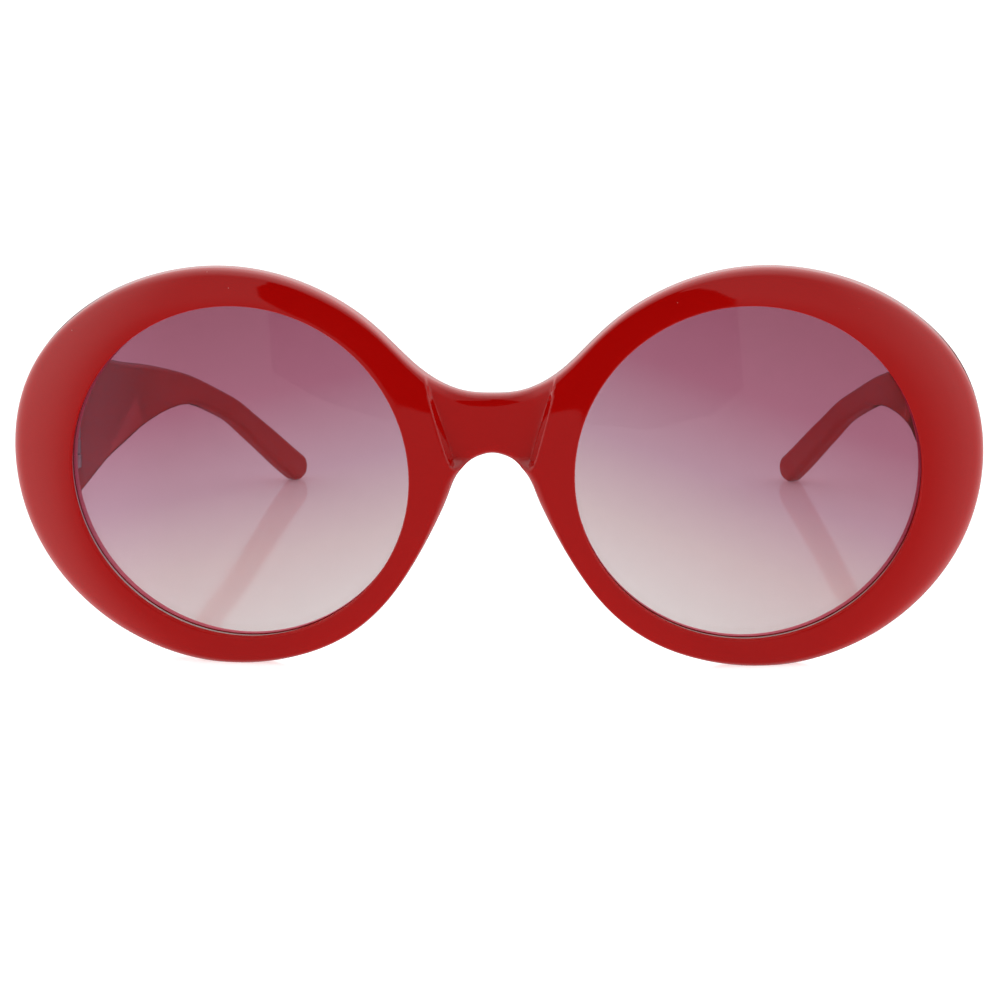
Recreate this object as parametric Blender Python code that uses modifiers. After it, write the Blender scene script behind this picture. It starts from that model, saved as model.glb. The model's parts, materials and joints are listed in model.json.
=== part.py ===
"""Round sunglasses with a domed front, two lenses and two temples that fold on barrel hinges.

Lengths are metres and angles radians. +Z is up, the front faces -Y and the wearer's left is +X. The
glasses stand open on the bottoms of both rims and on both temple tips, and the origin lies on the floor
under the middle of their box. The front is worked out in its own plane: x across, s up along the plane,
w forwards out of it.
"""

import math

import bmesh
import bpy
import numpy as np
from mathutils import Matrix

COLLECTION_NAME = "round_sunglasses"
SIDES = {"left": 1, "right": -1}

# The front
OPENING_RADIUS = 0.02595
BRIDGE_WIDTH = 0.0252
RIM_WIDTH = 0.0092
RIM_DEPTH = 0.0045
DOME_RADIUS = 0.132
FACE_ANGLE = math.radians(5)
LEAN_ANGLE = math.radians(4)
EDGE_DROP = 0.0017
ROLL_SHARE = 0.38
ROLL_STEP_SHARES = (0.1, 0.4, 1.0)
# The rolled edge is a quarter of a superellipse with this exponent, where 2 would be a plain ellipse
ROLL_POWER = 3.0
CROWN = 0.0003
INNER_BEVEL = 0.0007
BACK_ROLL = 0.0012
BACK_BEVEL = 0.0005
BEVEL_STEP_SHARE = 0.3
FOOT_CUT = 0.00015

# Angle in degrees round a lens, from the nose side on over the bottom, and the share of RIM_WIDTH there
RIM_WIDTH_SHARES = (
    (192, 0.555), (200, 0.465), (210, 0.417), (222, 0.425), (240, 0.465), (260, 0.482), (280, 0.55),
    (300, 0.64), (320, 0.76), (340, 0.885), (360, 0.97), (378, 1.0), (390, 0.957), (401, 0.868),
    (412, 0.775), (425, 0.682), (440, 0.61), (460, 0.552), (480, 0.543), (490, 0.561), (500, 0.59),
)

# The bridge and the nose arch, measured up from the lens centres
BRIDGE_RISE = 0.0125
BRIDGE_HEIGHT = 0.00915
NOSE_HALF_WIDTH = 0.0066
BRIDGE_TOP_SHARES = ((0.437, 0.171), (0.29, 0.067), (0.145, 0.012), (0.0, 0.0))
NOSE_ARCH_SHARES = ((0.0, 0.0), (0.32, -0.07), (0.55, -0.18), (0.735, -0.35), (0.895, -0.62), (1.0, -0.895))
FACET_SET = 0.0024
FACET_TOP_HALF = 0.0095
FACET_FOOT_HALF = 0.00525
FACET_WALL_TOP = 0.0002
FACET_WALL_FOOT = 0.0038
FACET_OPEN_DEPTH = 0.0039

# The lenses and their grooves
LENS_RADIUS = 0.23
LENS_THICKNESS = 0.0019
LENS_SET = 0.0012
LENS_HOLD = 0.00035
LENS_CLEARANCE = 0.0003

# The nose pads
PAD_HEIGHT = 0.0035
PAD_WIDTH = 0.0032
PAD_START_ANGLE = math.radians(183)
PAD_END_ANGLE = math.radians(217)
PAD_TIP_SHARE = 0.2
SEAT_CLEARANCE = 0.0003

# The temples
HINGE_DEPTH = 0.019
HINGE_RISE = 0.0308
TEMPLE_INSET = 0.00617
ROOT_HEIGHT = 0.0204
TEMPLE_THICKNESS = 0.0038
TEMPLE_LENGTH = 0.1154
TIP_RADIUS = 0.0025
TIP_END_SHARE = 0.12
TIP_THICKNESS_SHARE = 0.35
TOE_IN_SLOPE = 0.035
CURL_RADIUS = 0.096
CURL_START_SHARE = 0.485
CORNER_RADIUS = 0.0011
CORNER_LIMIT_SHARE = 0.45
BUTT_CLEARANCE = 0.0003
LUG_ROOT_DEPTH = 0.00685

# Along the temple: share of its reach, share of its drop, share of ROOT_HEIGHT and of TEMPLE_THICKNESS
TEMPLE_SHARES = (
    (0.0, 0.0, 1.0, 1.0), (0.14, 0.007, 0.93, 1.0), (0.27, 0.02, 0.835, 0.98),
    (0.33, 0.047, 0.765, 0.97), (0.44, 0.102, 0.64, 0.94), (0.555, 0.154, 0.51, 0.92),
    (0.63, 0.192, 0.4, 0.9), (0.69, 0.23, 0.31, 0.89), (0.745, 0.285, 0.24, 0.88),
    (0.785, 0.35, 0.215, 0.87), (0.825, 0.43, 0.209, 0.87), (0.865, 0.525, 0.21, 0.86),
    (0.9, 0.64, 0.22, 0.86), (0.935, 0.76, 0.233, 0.86), (0.97, 0.89, 0.243, 0.86),
    (1.0, 1.0, 0.245, 0.86),
)

# The core wires
WIRE_RADIUS = 0.0006
WIRE_CLEARANCE = 0.0003
WIRE_ROOT_DROP = 0.0066
WIRE_BLEND_SHARE = 0.6
WIRE_START_SHARE = 0.01
WIRE_END_SHARE = 0.945

# The hinges
AXIS_INSET = 0.0007
BARREL_RADIUS = 0.0016
MIDDLE_BARREL_HEIGHT = 0.0022
END_BARREL_HEIGHT = 0.0022
BARREL_GAP = 0.0001
LEAF_THICKNESS = 0.001
LEAF_OUTER_FACE = 0.00155
LEAF_LENGTH = 0.0066
ANCHOR_DEPTH = 0.0011
ANCHOR_LENGTH = 0.0022
ANCHOR_HEIGHT = 0.0034
BORE_RADIUS = 0.0008
SCREW_RADIUS = 0.0007
SCREW_HEAD_RADIUS = 0.0013
SCREW_HEAD_HEIGHT = 0.0008
SCREW_SEAT_GAP = 0.00005
SLOT_WIDTH = 0.0004
SLOT_DEPTH = 0.0004
POCKET_CLEARANCE = 0.0003
OVERRUN = 0.002

# How finely the curves are cut up
OUTLINE_STATIONS = 70
OUTLINE_REFINEMENT = 12
BRIDGE_STATIONS = 3
TEMPLE_STATIONS = 30
CROWDING_SHARE = 0.08
NUDGE_SHARE = 0.001
TIP_STATIONS = 5
CORNER_POINTS = 4
PAD_STATIONS = 9
PAD_POINTS = 8
LENS_STEPS = 60
LENS_ARC_POINTS = 5
ROUND_SIDES = 24
WIRE_STATIONS = 26
SMOOTH_ANGLE = math.radians(30)
MERGE_SHARE = 0.001

# What follows from the sizes above
LENS_X = OPENING_RADIUS + BRIDGE_WIDTH / 2
INNER_FACE = LENS_X + OPENING_RADIUS + RIM_WIDTH - TEMPLE_INSET
AXIS_X = INNER_FACE - AXIS_INSET
LEAF_HEIGHT = MIDDLE_BARREL_HEIGHT + 2 * (BARREL_GAP + END_BARREL_HEIGHT)
CHANNEL_RADIUS = WIRE_RADIUS + WIRE_CLEARANCE
POCKET_RADIUS = BARREL_RADIUS + POCKET_CLEARANCE
GROOVE_RADIUS = OPENING_RADIUS + LENS_HOLD + LENS_CLEARANCE
MERGE_DISTANCE = OVERRUN * MERGE_SHARE

PAINTS = {
    "frame": ((0.33, 0.006, 0.007, 1.0), 0.16, 0.0),
    "lens": ((0.42, 0.24, 0.32, 1.0), 0.05, 0.0),
    "pad": ((0.32, 0.006, 0.007, 1.0), 0.25, 0.0),
    "steel": ((0.62, 0.6, 0.57, 1.0), 0.3, 1.0),
}


def clear_scene():
    """Removes whatever the scene holds at the start."""
    for obj in list(bpy.data.objects):
        bpy.data.objects.remove(obj, do_unlink=True)


def new_collection(name):
    collection = bpy.data.collections.new(name)
    bpy.context.scene.collection.children.link(collection)
    return collection


def paint(obj, key):
    """Gives the object a material of its own."""
    color, roughness, metallic = PAINTS[key]
    material = bpy.data.materials.new(obj.name)
    material.use_nodes = True
    shader = material.node_tree.nodes["Principled BSDF"]
    shader.inputs["Base Color"].default_value = color
    shader.inputs["Roughness"].default_value = roughness
    shader.inputs["Metallic"].default_value = metallic
    if key == "lens":
        shader.inputs["Transmission Weight"].default_value = 1.0
    obj.data.materials.clear()
    obj.data.materials.append(material)


def add_object(name, mesh, collection, parent):
    obj = bpy.data.objects.new(name, mesh)
    collection.objects.link(obj)
    obj.parent = parent
    return obj


def add_empty(name, collection, parent, location=(0, 0, 0), rotation=(0, 0, 0)):
    empty = add_object(name, None, collection, parent)
    empty.location = location
    empty.rotation_euler = rotation
    return empty


def mesh_from(name, points, faces):
    """A mesh with its faces pointing out and no loose points."""
    mesh = bpy.data.meshes.new(name)
    mesh.from_pydata([tuple(point) for point in points], [], faces)
    shape = bmesh.new()
    shape.from_mesh(mesh)
    bmesh.ops.delete(shape, geom=[v for v in shape.verts if not v.link_faces], context="VERTS")
    bmesh.ops.recalc_face_normals(shape, faces=shape.faces)
    shape.to_mesh(mesh)
    shape.free()
    return mesh


def smooth_shading(mesh):
    mesh.shade_smooth()
    mesh.set_sharp_from_angle(angle=SMOOTH_ANGLE)


def spline(knots, values, places, end_slopes=None):
    """A cubic spline through values at knots, read at places, with its end slopes given or free."""
    knots, values = np.asarray(knots, float), np.asarray(values, float)
    steps = np.diff(knots)
    rises = np.diff(values, axis=0) / steps[:, None]
    count = len(knots)
    system = np.zeros((count, count))
    wanted = np.zeros(values.shape)
    for i in range(1, count - 1):
        system[i, i - 1: i + 2] = steps[i - 1], 2 * (steps[i - 1] + steps[i]), steps[i]
        wanted[i] = 6 * (rises[i] - rises[i - 1])
    system[0, 0] = system[-1, -1] = 1
    if end_slopes is not None:
        system[0, :2] = 2 * steps[0], steps[0]
        system[-1, -2:] = steps[-1], 2 * steps[-1]
        wanted[0] = 6 * (rises[0] - end_slopes[0])
        wanted[-1] = 6 * (end_slopes[1] - rises[-1])
    bends = np.linalg.solve(system, wanted)
    cell = np.clip(np.searchsorted(knots, places) - 1, 0, count - 2)
    step = steps[cell][:, None]
    after = (np.asarray(places) - knots[cell])[:, None] / step
    before = 1 - after
    bowed = (before ** 3 - before) * bends[cell] + (after ** 3 - after) * bends[cell + 1]
    return before * values[cell] + after * values[cell + 1] + step ** 2 * bowed / 6


def half_outline():
    """The outer outline of the +X half of the front, from the nose arch round the rim to the bridge's top.

    Returns points and inward normals in the front's plane, with the lens centre at (LENS_X, 0).
    """
    arch_rise = BRIDGE_RISE - BRIDGE_HEIGHT
    arch = [(NOSE_HALF_WIDTH * x, arch_rise + NOSE_HALF_WIDTH * s) for x, s in NOSE_ARCH_SHARES]
    rim = []
    for degrees, share in RIM_WIDTH_SHARES:
        radius, angle = OPENING_RADIUS + RIM_WIDTH * share, math.radians(degrees)
        rim.append((LENS_X + radius * math.cos(angle), radius * math.sin(angle)))
    top = [(BRIDGE_WIDTH * x, BRIDGE_RISE + BRIDGE_WIDTH * s) for x, s in BRIDGE_TOP_SHARES]
    knots = np.array(arch + rim + top)
    along = np.concatenate([[0], np.cumsum(np.linalg.norm(np.diff(knots, axis=0), axis=1))])
    fine = np.linspace(0, along[-1], OUTLINE_REFINEMENT * OUTLINE_STATIONS)
    curve = spline(along, knots, fine, end_slopes=np.array([[1.0, 0.0], [-1.0, 0.0]]))
    length = np.concatenate([[0], np.cumsum(np.linalg.norm(np.diff(curve, axis=0), axis=1))])
    places = np.linspace(0, length[-1], OUTLINE_STATIONS)
    points = np.stack([np.interp(places, length, curve[:, i]) for i in range(2)], axis=1)
    tangents = np.gradient(points, axis=0)
    tangents[[0, -1]] = (1, 0), (-1, 0)
    tangents /= np.linalg.norm(tangents, axis=1)[:, None]
    points[[0, -1], 0] = 0
    return points, np.stack([-tangents[:, 1], tangents[:, 0]], axis=1)


def with_bridge_plane(ring):
    """Closes a ring of the half front with points on the plane x = 0, from the bridge's top to the arch."""
    steps = np.linspace(0, 1, BRIDGE_STATIONS + 2)[1:-1, None]
    return np.concatenate([ring, ring[-1] + (ring[0] - ring[-1]) * steps])


def dome(ring, depth):
    """Sets a ring of (x, s) on the rim's sphere, depth behind it along w."""
    centre_x, centre_w = LENS_X - DOME_RADIUS * math.sin(FACE_ANGLE), -DOME_RADIUS * math.cos(FACE_ANGLE)
    height = centre_w + np.sqrt(DOME_RADIUS ** 2 - (ring[:, 0] - centre_x) ** 2 - ring[:, 1] ** 2)
    return np.column_stack([ring, height - depth])


def round_the_lens(radius, angles, depth):
    """Points at a radius and angles about the lens's axis, depth behind the rim's sphere along it."""
    height = math.sqrt(DOME_RADIUS ** 2 - radius ** 2) - DOME_RADIUS - depth
    across = radius * np.cos(angles)
    return np.column_stack([
        LENS_X + across * math.cos(FACE_ANGLE) + height * math.sin(FACE_ANGLE),
        radius * np.sin(angles),
        height * math.cos(FACE_ANGLE) - across * math.sin(FACE_ANGLE),
    ])


def angles_about_lens(ring):
    return np.arctan2(ring[:, 1], (ring[:, 0] - LENS_X) / math.cos(FACE_ANGLE))


def half_front_rings():
    """The rings of the +X half front, from its outer edge over the front, the lens groove and the back."""
    points, normals = half_outline()
    width = np.linalg.norm(points - (LENS_X, 0), axis=1) - OPENING_RADIUS
    out = np.clip(points[:, 0] / BRIDGE_WIDTH, 0, 1)
    cap = BRIDGE_HEIGHT / 2 + (RIM_WIDTH - BRIDGE_HEIGHT / 2) * out ** 2 * (3 - 2 * out)
    roll = (ROLL_SHARE * np.minimum(width, cap))[:, None]

    def inset(distance):
        return with_bridge_plane(points + normals * distance)

    rings = [dome(inset(0), RIM_DEPTH - BACK_ROLL), dome(inset(0), EDGE_DROP)]
    for share in ROLL_STEP_SHARES:
        drop = EDGE_DROP * (1 - (1 - (1 - share) ** ROLL_POWER) ** (1 / ROLL_POWER))
        rings.append(dome(inset(share * roll), drop))
    angles = angles_about_lens(rings[-1])
    inner_front = round_the_lens(OPENING_RADIUS + INNER_BEVEL, angles, 0)
    rings.append(dome((rings[-1][:, :2] + inner_front[:, :2]) / 2, -CROWN))
    rings.append(inner_front)
    bevel_step = BEVEL_STEP_SHARE * INNER_BEVEL
    groove_front = LENS_SET - LENS_CLEARANCE
    groove_back = LENS_SET + LENS_THICKNESS + LENS_CLEARANCE
    for radius, depth in (
        (OPENING_RADIUS + bevel_step, bevel_step),
        (OPENING_RADIUS, INNER_BEVEL),
        (OPENING_RADIUS, groove_front),
        (GROOVE_RADIUS, groove_front),
        (GROOVE_RADIUS, groove_back),
        (OPENING_RADIUS, groove_back),
        (OPENING_RADIUS, RIM_DEPTH - BACK_BEVEL),
        (OPENING_RADIUS + BACK_BEVEL, RIM_DEPTH),
    ):
        rings.append(round_the_lens(radius, angles, depth))
    outer_back = dome(inset(BACK_ROLL), RIM_DEPTH)
    rings.append(dome((rings[-1][:, :2] + outer_back[:, :2]) / 2, RIM_DEPTH))
    rings.append(outer_back)
    roll_step = BEVEL_STEP_SHARE * BACK_ROLL
    rings.append(dome(inset(roll_step), RIM_DEPTH - roll_step))
    return np.array(rings)


def torus_faces(rings, stations):
    faces = []
    for i in range(rings):
        for j in range(stations):
            k, m = (i + 1) % rings, (j + 1) % stations
            faces.append((i * stations + j, i * stations + m, k * stations + m, k * stations + j))
    return faces


def front_mesh():
    """The +X half of the front, open at the plane x = 0."""
    rings = half_front_rings()
    points = rings.reshape(-1, 3)
    on_plane = np.abs(points[:, 0]) < MERGE_DISTANCE
    points[on_plane, 0] = 0
    faces = [face for face in torus_faces(*rings.shape[:2]) if not on_plane[list(face)].all()]
    return mesh_from("front_frame", points, faces)


def lean(points):
    """Turns points of the front's plane to world directions, before the front is set on the floor."""
    x, s, w = np.asarray(points, float).T
    cos, sin = math.cos(LEAN_ANGLE), math.sin(LEAN_ANGLE)
    return np.column_stack([x, -w * cos - s * sin, s * cos - w * sin])


def lens_rise():
    """How far up the front's plane the lens centres lie, with FOOT_CUT of each rim below the floor."""
    lowest = lean(half_front_rings().reshape(-1, 3))[:, 2].min()
    return -(lowest + FOOT_CUT) / math.cos(LEAN_ANGLE)


def loft_mesh(name, sections):
    """A closed body through sections of equal point counts, with a fan at each end."""
    count, size = sections.shape[:2]
    points = np.concatenate([sections.reshape(-1, 3), sections[[0, -1]].mean(axis=1)])
    faces = []
    for i in range(count - 1):
        for j in range(size):
            k = (j + 1) % size
            faces.append((i * size + j, i * size + k, (i + 1) * size + k, (i + 1) * size + j))
    first, last = count * size, count * size + 1
    for j in range(size):
        k = (j + 1) % size
        faces.append((first, k, j))
        faces.append((last, (count - 1) * size + j, (count - 1) * size + k))
    return mesh_from(name, points, faces)


def rounded_rectangle(width, height):
    """Points (across, up) of a rectangle with round corners, about its middle."""
    radius = min(CORNER_RADIUS, CORNER_LIMIT_SHARE * width, CORNER_LIMIT_SHARE * height)
    points = []
    for quarter in range(4):
        middle = math.radians(45 + 90 * quarter)
        corner_x = math.copysign(width / 2 - radius, math.cos(middle))
        corner_y = math.copysign(height / 2 - radius, math.sin(middle))
        for step in np.linspace(-45, 45, CORNER_POINTS):
            angle = middle + math.radians(step)
            points.append((corner_x + radius * math.cos(angle), corner_y + radius * math.sin(angle)))
    return np.array(points)


def temple_line(shares):
    """Centre, sideways and upward directions, thickness and height of the +X temple at shares of its reach.

    The inner face runs back with a slight toe-in and then curls in on an arc of CURL_RADIUS.
    """
    table = np.array(TEMPLE_SHARES)

    def place(at):
        drop, height, thickness = spline(table[:, 0], table[:, 1:], at).T
        back = TEMPLE_LENGTH * at
        curled = np.maximum(0, back - CURL_START_SHARE * TEMPLE_LENGTH)
        inner = INNER_FACE - TOE_IN_SLOPE * back - curled ** 2 / (2 * CURL_RADIUS)
        slope = -TOE_IN_SLOPE - curled / CURL_RADIUS
        length = np.sqrt(1 + slope ** 2)
        side = np.column_stack([1 / length, -slope / length, np.zeros(len(at))])
        half = TEMPLE_THICKNESS * thickness[:, None] / 2
        up = HINGE_RISE - (HINGE_RISE - TIP_RADIUS) * drop
        face = np.column_stack([inner, HINGE_DEPTH + back, up])
        return face + side * half, side, 2 * half[:, 0], ROOT_HEIGHT * height

    centre, side, thickness, height = place(shares)
    tangent = place(shares + NUDGE_SHARE)[0] - place(shares - NUDGE_SHARE)[0]
    tangent /= np.linalg.norm(tangent, axis=1)[:, None]
    up = np.cross(side, tangent)
    return centre, side, up / np.linalg.norm(up, axis=1)[:, None], tangent, thickness, height


def temple_sections():
    """Rounded rectangles along the temple, ending in a round tip."""
    crowded = np.linspace(0, 1, TEMPLE_STATIONS)
    shares = crowded + CROWDING_SHARE * np.sin(math.pi * crowded)
    centre, side, up, tangent, thickness, height = temple_line(shares)
    sections = []
    for i in range(TEMPLE_STATIONS):
        outline = rounded_rectangle(thickness[i], height[i])
        sections.append(centre[i] + outline[:, :1] * side[i] + outline[:, 1:] * up[i])
    sections[0][:, 1] = HINGE_DEPTH + BUTT_CLEARANCE / 2
    for angle in np.linspace(0, math.pi / 2, TIP_STATIONS + 1)[1:]:
        narrow = max(math.cos(angle), TIP_END_SHARE)
        thin = TIP_THICKNESS_SHARE + (1 - TIP_THICKNESS_SHARE) * narrow
        outline = rounded_rectangle(thickness[-1] * thin, height[-1] * narrow)
        middle = centre[-1] + tangent[-1] * TIP_RADIUS * math.sin(angle)
        sections.append(middle + outline[:, :1] * side[-1] + outline[:, 1:] * up[-1])
    return np.array(sections)


def mirrored(points, side):
    return np.asarray(points) * (side, 1, 1)


def wire_route(shares):
    """The core wire's path: under the hinge at the root, then along the temple's middle."""
    centre, _, up, *_ = temple_line(shares)
    out = np.clip(shares / WIRE_BLEND_SHARE, 0, 1)
    lower = 1 - out ** 2 * (3 - 2 * out)
    return centre - up * (WIRE_ROOT_DROP * lower)[:, None]


def tube(name, path, radius, collection, parent):
    """A round bar along a path, as a mesh object."""
    curve = bpy.data.curves.new(name, "CURVE")
    curve.dimensions = "3D"
    curve.bevel_depth = radius
    curve.bevel_resolution = 2
    curve.use_fill_caps = True
    line = curve.splines.new("POLY")
    line.points.add(len(path) - 1)
    for point, place in zip(line.points, path):
        point.co = (*place, 1)
    drawn = add_object(name + "_line", curve, collection, parent)
    bpy.context.view_layer.update()
    mesh = bpy.data.meshes.new_from_object(drawn.evaluated_get(bpy.context.evaluated_depsgraph_get()))
    mesh.name = name
    shape = bmesh.new()
    shape.from_mesh(mesh)
    bmesh.ops.remove_doubles(shape, verts=shape.verts, dist=MERGE_DISTANCE)
    bmesh.ops.recalc_face_normals(shape, faces=shape.faces)
    shape.to_mesh(mesh)
    shape.free()
    bpy.data.objects.remove(drawn, do_unlink=True)
    bpy.data.curves.remove(curve)
    return add_object(name, mesh, collection, parent)


def box(name, low, high, collection, parent=None):
    """A box between two corners."""
    low, high = np.minimum(low, high), np.maximum(low, high)
    mesh = bpy.data.meshes.new(name)
    shape = bmesh.new()
    bmesh.ops.create_cube(shape, size=1)
    bmesh.ops.scale(shape, vec=tuple(high - low), verts=shape.verts)
    bmesh.ops.translate(shape, vec=tuple((low + high) / 2), verts=shape.verts)
    shape.to_mesh(mesh)
    shape.free()
    return add_object(name, mesh, collection, parent)


def cylinder(name, radius, low, high, collection, parent=None):
    """An upright cylinder about the local Z axis, from low to high."""
    mesh = bpy.data.meshes.new(name)
    shape = bmesh.new()
    bmesh.ops.create_cone(
        shape, cap_ends=True, segments=ROUND_SIDES, radius1=radius, radius2=radius, depth=high - low,
    )
    bmesh.ops.translate(shape, vec=(0, 0, (low + high) / 2), verts=shape.verts)
    shape.to_mesh(mesh)
    shape.free()
    return add_object(name, mesh, collection, parent)


def hide(cutter):
    cutter.hide_render = True
    cutter.display_type = "WIRE"
    return cutter


def combine(obj, other, operation):
    """Joins or cuts obj with a helper, and keeps the helper out of the render."""
    modifier = obj.modifiers.new(f"{operation.lower()}_{other.name}", "BOOLEAN")
    modifier.operation = operation
    modifier.solver = "EXACT"
    modifier.object = hide(other)


def lens_mesh(name):
    """A round lens about Z, whose front edge lies LENS_SET behind the rim's sphere, which touches z = 0."""
    radius = OPENING_RADIUS + LENS_HOLD
    profile = []
    for depth, sphere, outward in (
        (LENS_SET, LENS_RADIUS, True),
        (LENS_SET + LENS_THICKNESS, LENS_RADIUS - LENS_THICKNESS, False),
    ):
        reaches = np.linspace(0, radius, LENS_ARC_POINTS)
        edge = math.sqrt((DOME_RADIUS - depth) ** 2 - radius ** 2) - DOME_RADIUS
        heights = edge + np.sqrt(sphere ** 2 - reaches ** 2) - math.sqrt(sphere ** 2 - radius ** 2)
        arc = list(zip(reaches, heights))
        profile += arc if outward else arc[::-1]
    mesh = bpy.data.meshes.new(name)
    mesh.from_pydata([(x, 0, z) for x, z in profile], [(i, i + 1) for i in range(len(profile) - 1)], [])
    return mesh


def add_lens(name, side, collection, parent, rise):
    lens = add_object(name, lens_mesh(name), collection, parent)
    lens.location = (side * LENS_X, rise, 0)
    lens.rotation_euler = (0, side * FACE_ANGLE, 0)
    turn = lens.modifiers.new("turned", "SCREW")
    turn.axis = "Z"
    turn.steps = turn.render_steps = LENS_STEPS
    turn.use_merge_vertices = True
    turn.merge_threshold = MERGE_DISTANCE
    turn.use_smooth_shade = True
    paint(lens, "lens")
    return lens


def pad_mesh(name, side):
    """A nose pad: rounded sections that follow the back of the rim's nose side."""
    middle_radius = OPENING_RADIUS + RIM_WIDTH * min(share for _, share in RIM_WIDTH_SHARES) / 2
    sections = []
    for share in np.linspace(-1, 1, PAD_STATIONS):
        swell = max(math.sqrt(1 - share ** 2), PAD_TIP_SHARE)
        angle = PAD_START_ANGLE + (PAD_END_ANGLE - PAD_START_ANGLE) * (share + 1) / 2
        turns = np.linspace(0, 2 * math.pi, PAD_POINTS, endpoint=False) + math.pi / PAD_POINTS
        radii = middle_radius - PAD_WIDTH / 2 * swell * np.cos(turns)
        rounded = (1 + np.sin(turns) / math.sin(turns[1])) / 2
        depth = RIM_DEPTH + SEAT_CLEARANCE + PAD_HEIGHT * swell * rounded
        rows = [round_the_lens(radius, np.array([angle]), d)[0] for radius, d in zip(radii, depth)]
        sections.append(rows)
    return loft_mesh(name, mirrored(sections, side))


def facet_cutter(collection, parent, rise):
    """A tapered block that cuts the flat, recessed face of the bridge."""
    top, foot = rise + BRIDGE_RISE + OVERRUN, rise
    rows = []
    for width_top, width_foot, w in (
        (FACET_TOP_HALF, FACET_FOOT_HALF, -FACET_SET),
        (FACET_TOP_HALF + FACET_WALL_TOP, FACET_FOOT_HALF + FACET_WALL_FOOT, FACET_OPEN_DEPTH - FACET_SET),
    ):
        lower = [(-width_foot, foot, w), (width_foot, foot, w)]
        rows.append(lower + [(width_top, top, w), (-width_top, top, w)])
    return add_object("cut_bridge_facet", loft_mesh("cut_bridge_facet", np.array(rows)), collection, parent)


def lug_mesh(name, side):
    """The end lug: the temple's root section, carried forwards into the rim."""
    root = temple_sections()[0]
    sections = np.array([root, root])
    sections[0][:, 1] = HINGE_DEPTH - BUTT_CLEARANCE / 2
    sections[1][:, 1] = LUG_ROOT_DEPTH
    return loft_mesh(name, mirrored(sections, side))


def hinge_pocket(name, side, towards, collection, pivot):
    """The seat of a leaf and its anchor, with room for the barrels and the screw's head.

    towards is -1 for the front's lug and +1 for the temple.
    """
    half = LEAF_HEIGHT / 2 + POCKET_CLEARANCE
    end = towards * (LEAF_LENGTH + POCKET_CLEARANCE)
    deep = LEAF_OUTER_FACE + POCKET_CLEARANCE
    seat = box(name, (-side * OVERRUN, 0, -half), (side * deep, end, half), collection, pivot)
    room_top = half + SCREW_HEAD_HEIGHT + POCKET_CLEARANCE
    room = cylinder(name + "_barrel", POCKET_RADIUS, -half, room_top, collection, pivot)
    anchor_end = towards * (LEAF_LENGTH - LEAF_THICKNESS + POCKET_CLEARANCE)
    anchor_start = towards * (LEAF_LENGTH - LEAF_THICKNESS - ANCHOR_LENGTH - POCKET_CLEARANCE)
    anchor_half = ANCHOR_HEIGHT / 2 + POCKET_CLEARANCE
    anchor = box(
        name + "_anchor", (0, anchor_start, -anchor_half),
        (side * (deep + ANCHOR_DEPTH), anchor_end, anchor_half), collection, pivot,
    )
    return seat, room, anchor


def add_leaf(name, side, towards, levels, collection, cutters, pivot):
    """A hinge leaf: a plate with an anchor, and a barrel at each of its levels, given as (low, high)."""
    near = towards * (BARREL_RADIUS + POCKET_CLEARANCE)
    far = towards * LEAF_LENGTH
    inner, outer = side * (LEAF_OUTER_FACE - LEAF_THICKNESS), side * LEAF_OUTER_FACE
    half = LEAF_HEIGHT / 2
    leaf = box(name, (inner, near, -half), (outer, far, half), collection, pivot)
    anchor_start = towards * (LEAF_LENGTH - LEAF_THICKNESS - ANCHOR_LENGTH)
    anchor_end = towards * (LEAF_LENGTH - LEAF_THICKNESS)
    anchor = box(
        name + "_anchor_block", ((inner + outer) / 2, anchor_start, -ANCHOR_HEIGHT / 2),
        (outer + side * ANCHOR_DEPTH, anchor_end, ANCHOR_HEIGHT / 2), cutters, pivot,
    )
    combine(leaf, anchor, "UNION")
    for number, (low, high) in enumerate(levels):
        arm_end = near + towards * POCKET_CLEARANCE
        arm = box(f"{name}_arm_{number}", (inner, 0, low), (outer, arm_end, high), cutters, pivot)
        barrel = cylinder(f"{name}_barrel_{number}", BARREL_RADIUS, low, high, cutters, pivot)
        combine(barrel, arm, "UNION")
        combine(leaf, barrel, "UNION")
    bore = cylinder(name + "_bore", BORE_RADIUS, -half - OVERRUN, half + OVERRUN, cutters, pivot)
    combine(leaf, bore, "DIFFERENCE")
    paint(leaf, "steel")
    return leaf


def add_screw(name, collection, cutters, pivot):
    """The hinge screw: a plain shank with a slotted head on top of the upper barrel."""
    half = LEAF_HEIGHT / 2
    seat = half + SCREW_SEAT_GAP
    screw = cylinder(name, SCREW_RADIUS, -half, seat + SCREW_HEAD_HEIGHT / 2, collection, pivot)
    head = cylinder(name + "_head", SCREW_HEAD_RADIUS, seat, seat + SCREW_HEAD_HEIGHT, cutters, pivot)
    combine(screw, head, "UNION")
    reach, top = SCREW_HEAD_RADIUS + OVERRUN, seat + SCREW_HEAD_HEIGHT
    low, high = (-reach, -SLOT_WIDTH / 2, top - SLOT_DEPTH), (reach, SLOT_WIDTH / 2, top + OVERRUN)
    slot = box(name + "_slot", low, high, cutters, pivot)
    combine(screw, slot, "DIFFERENCE")
    paint(screw, "steel")
    return screw


def pivot_local(mesh, side):
    """Moves a mesh given in world places so that its origin is on the hinge axis."""
    mesh.transform(Matrix.Translation((-side * AXIS_X, -HINGE_DEPTH, -HINGE_RISE)))
    return mesh


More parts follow.
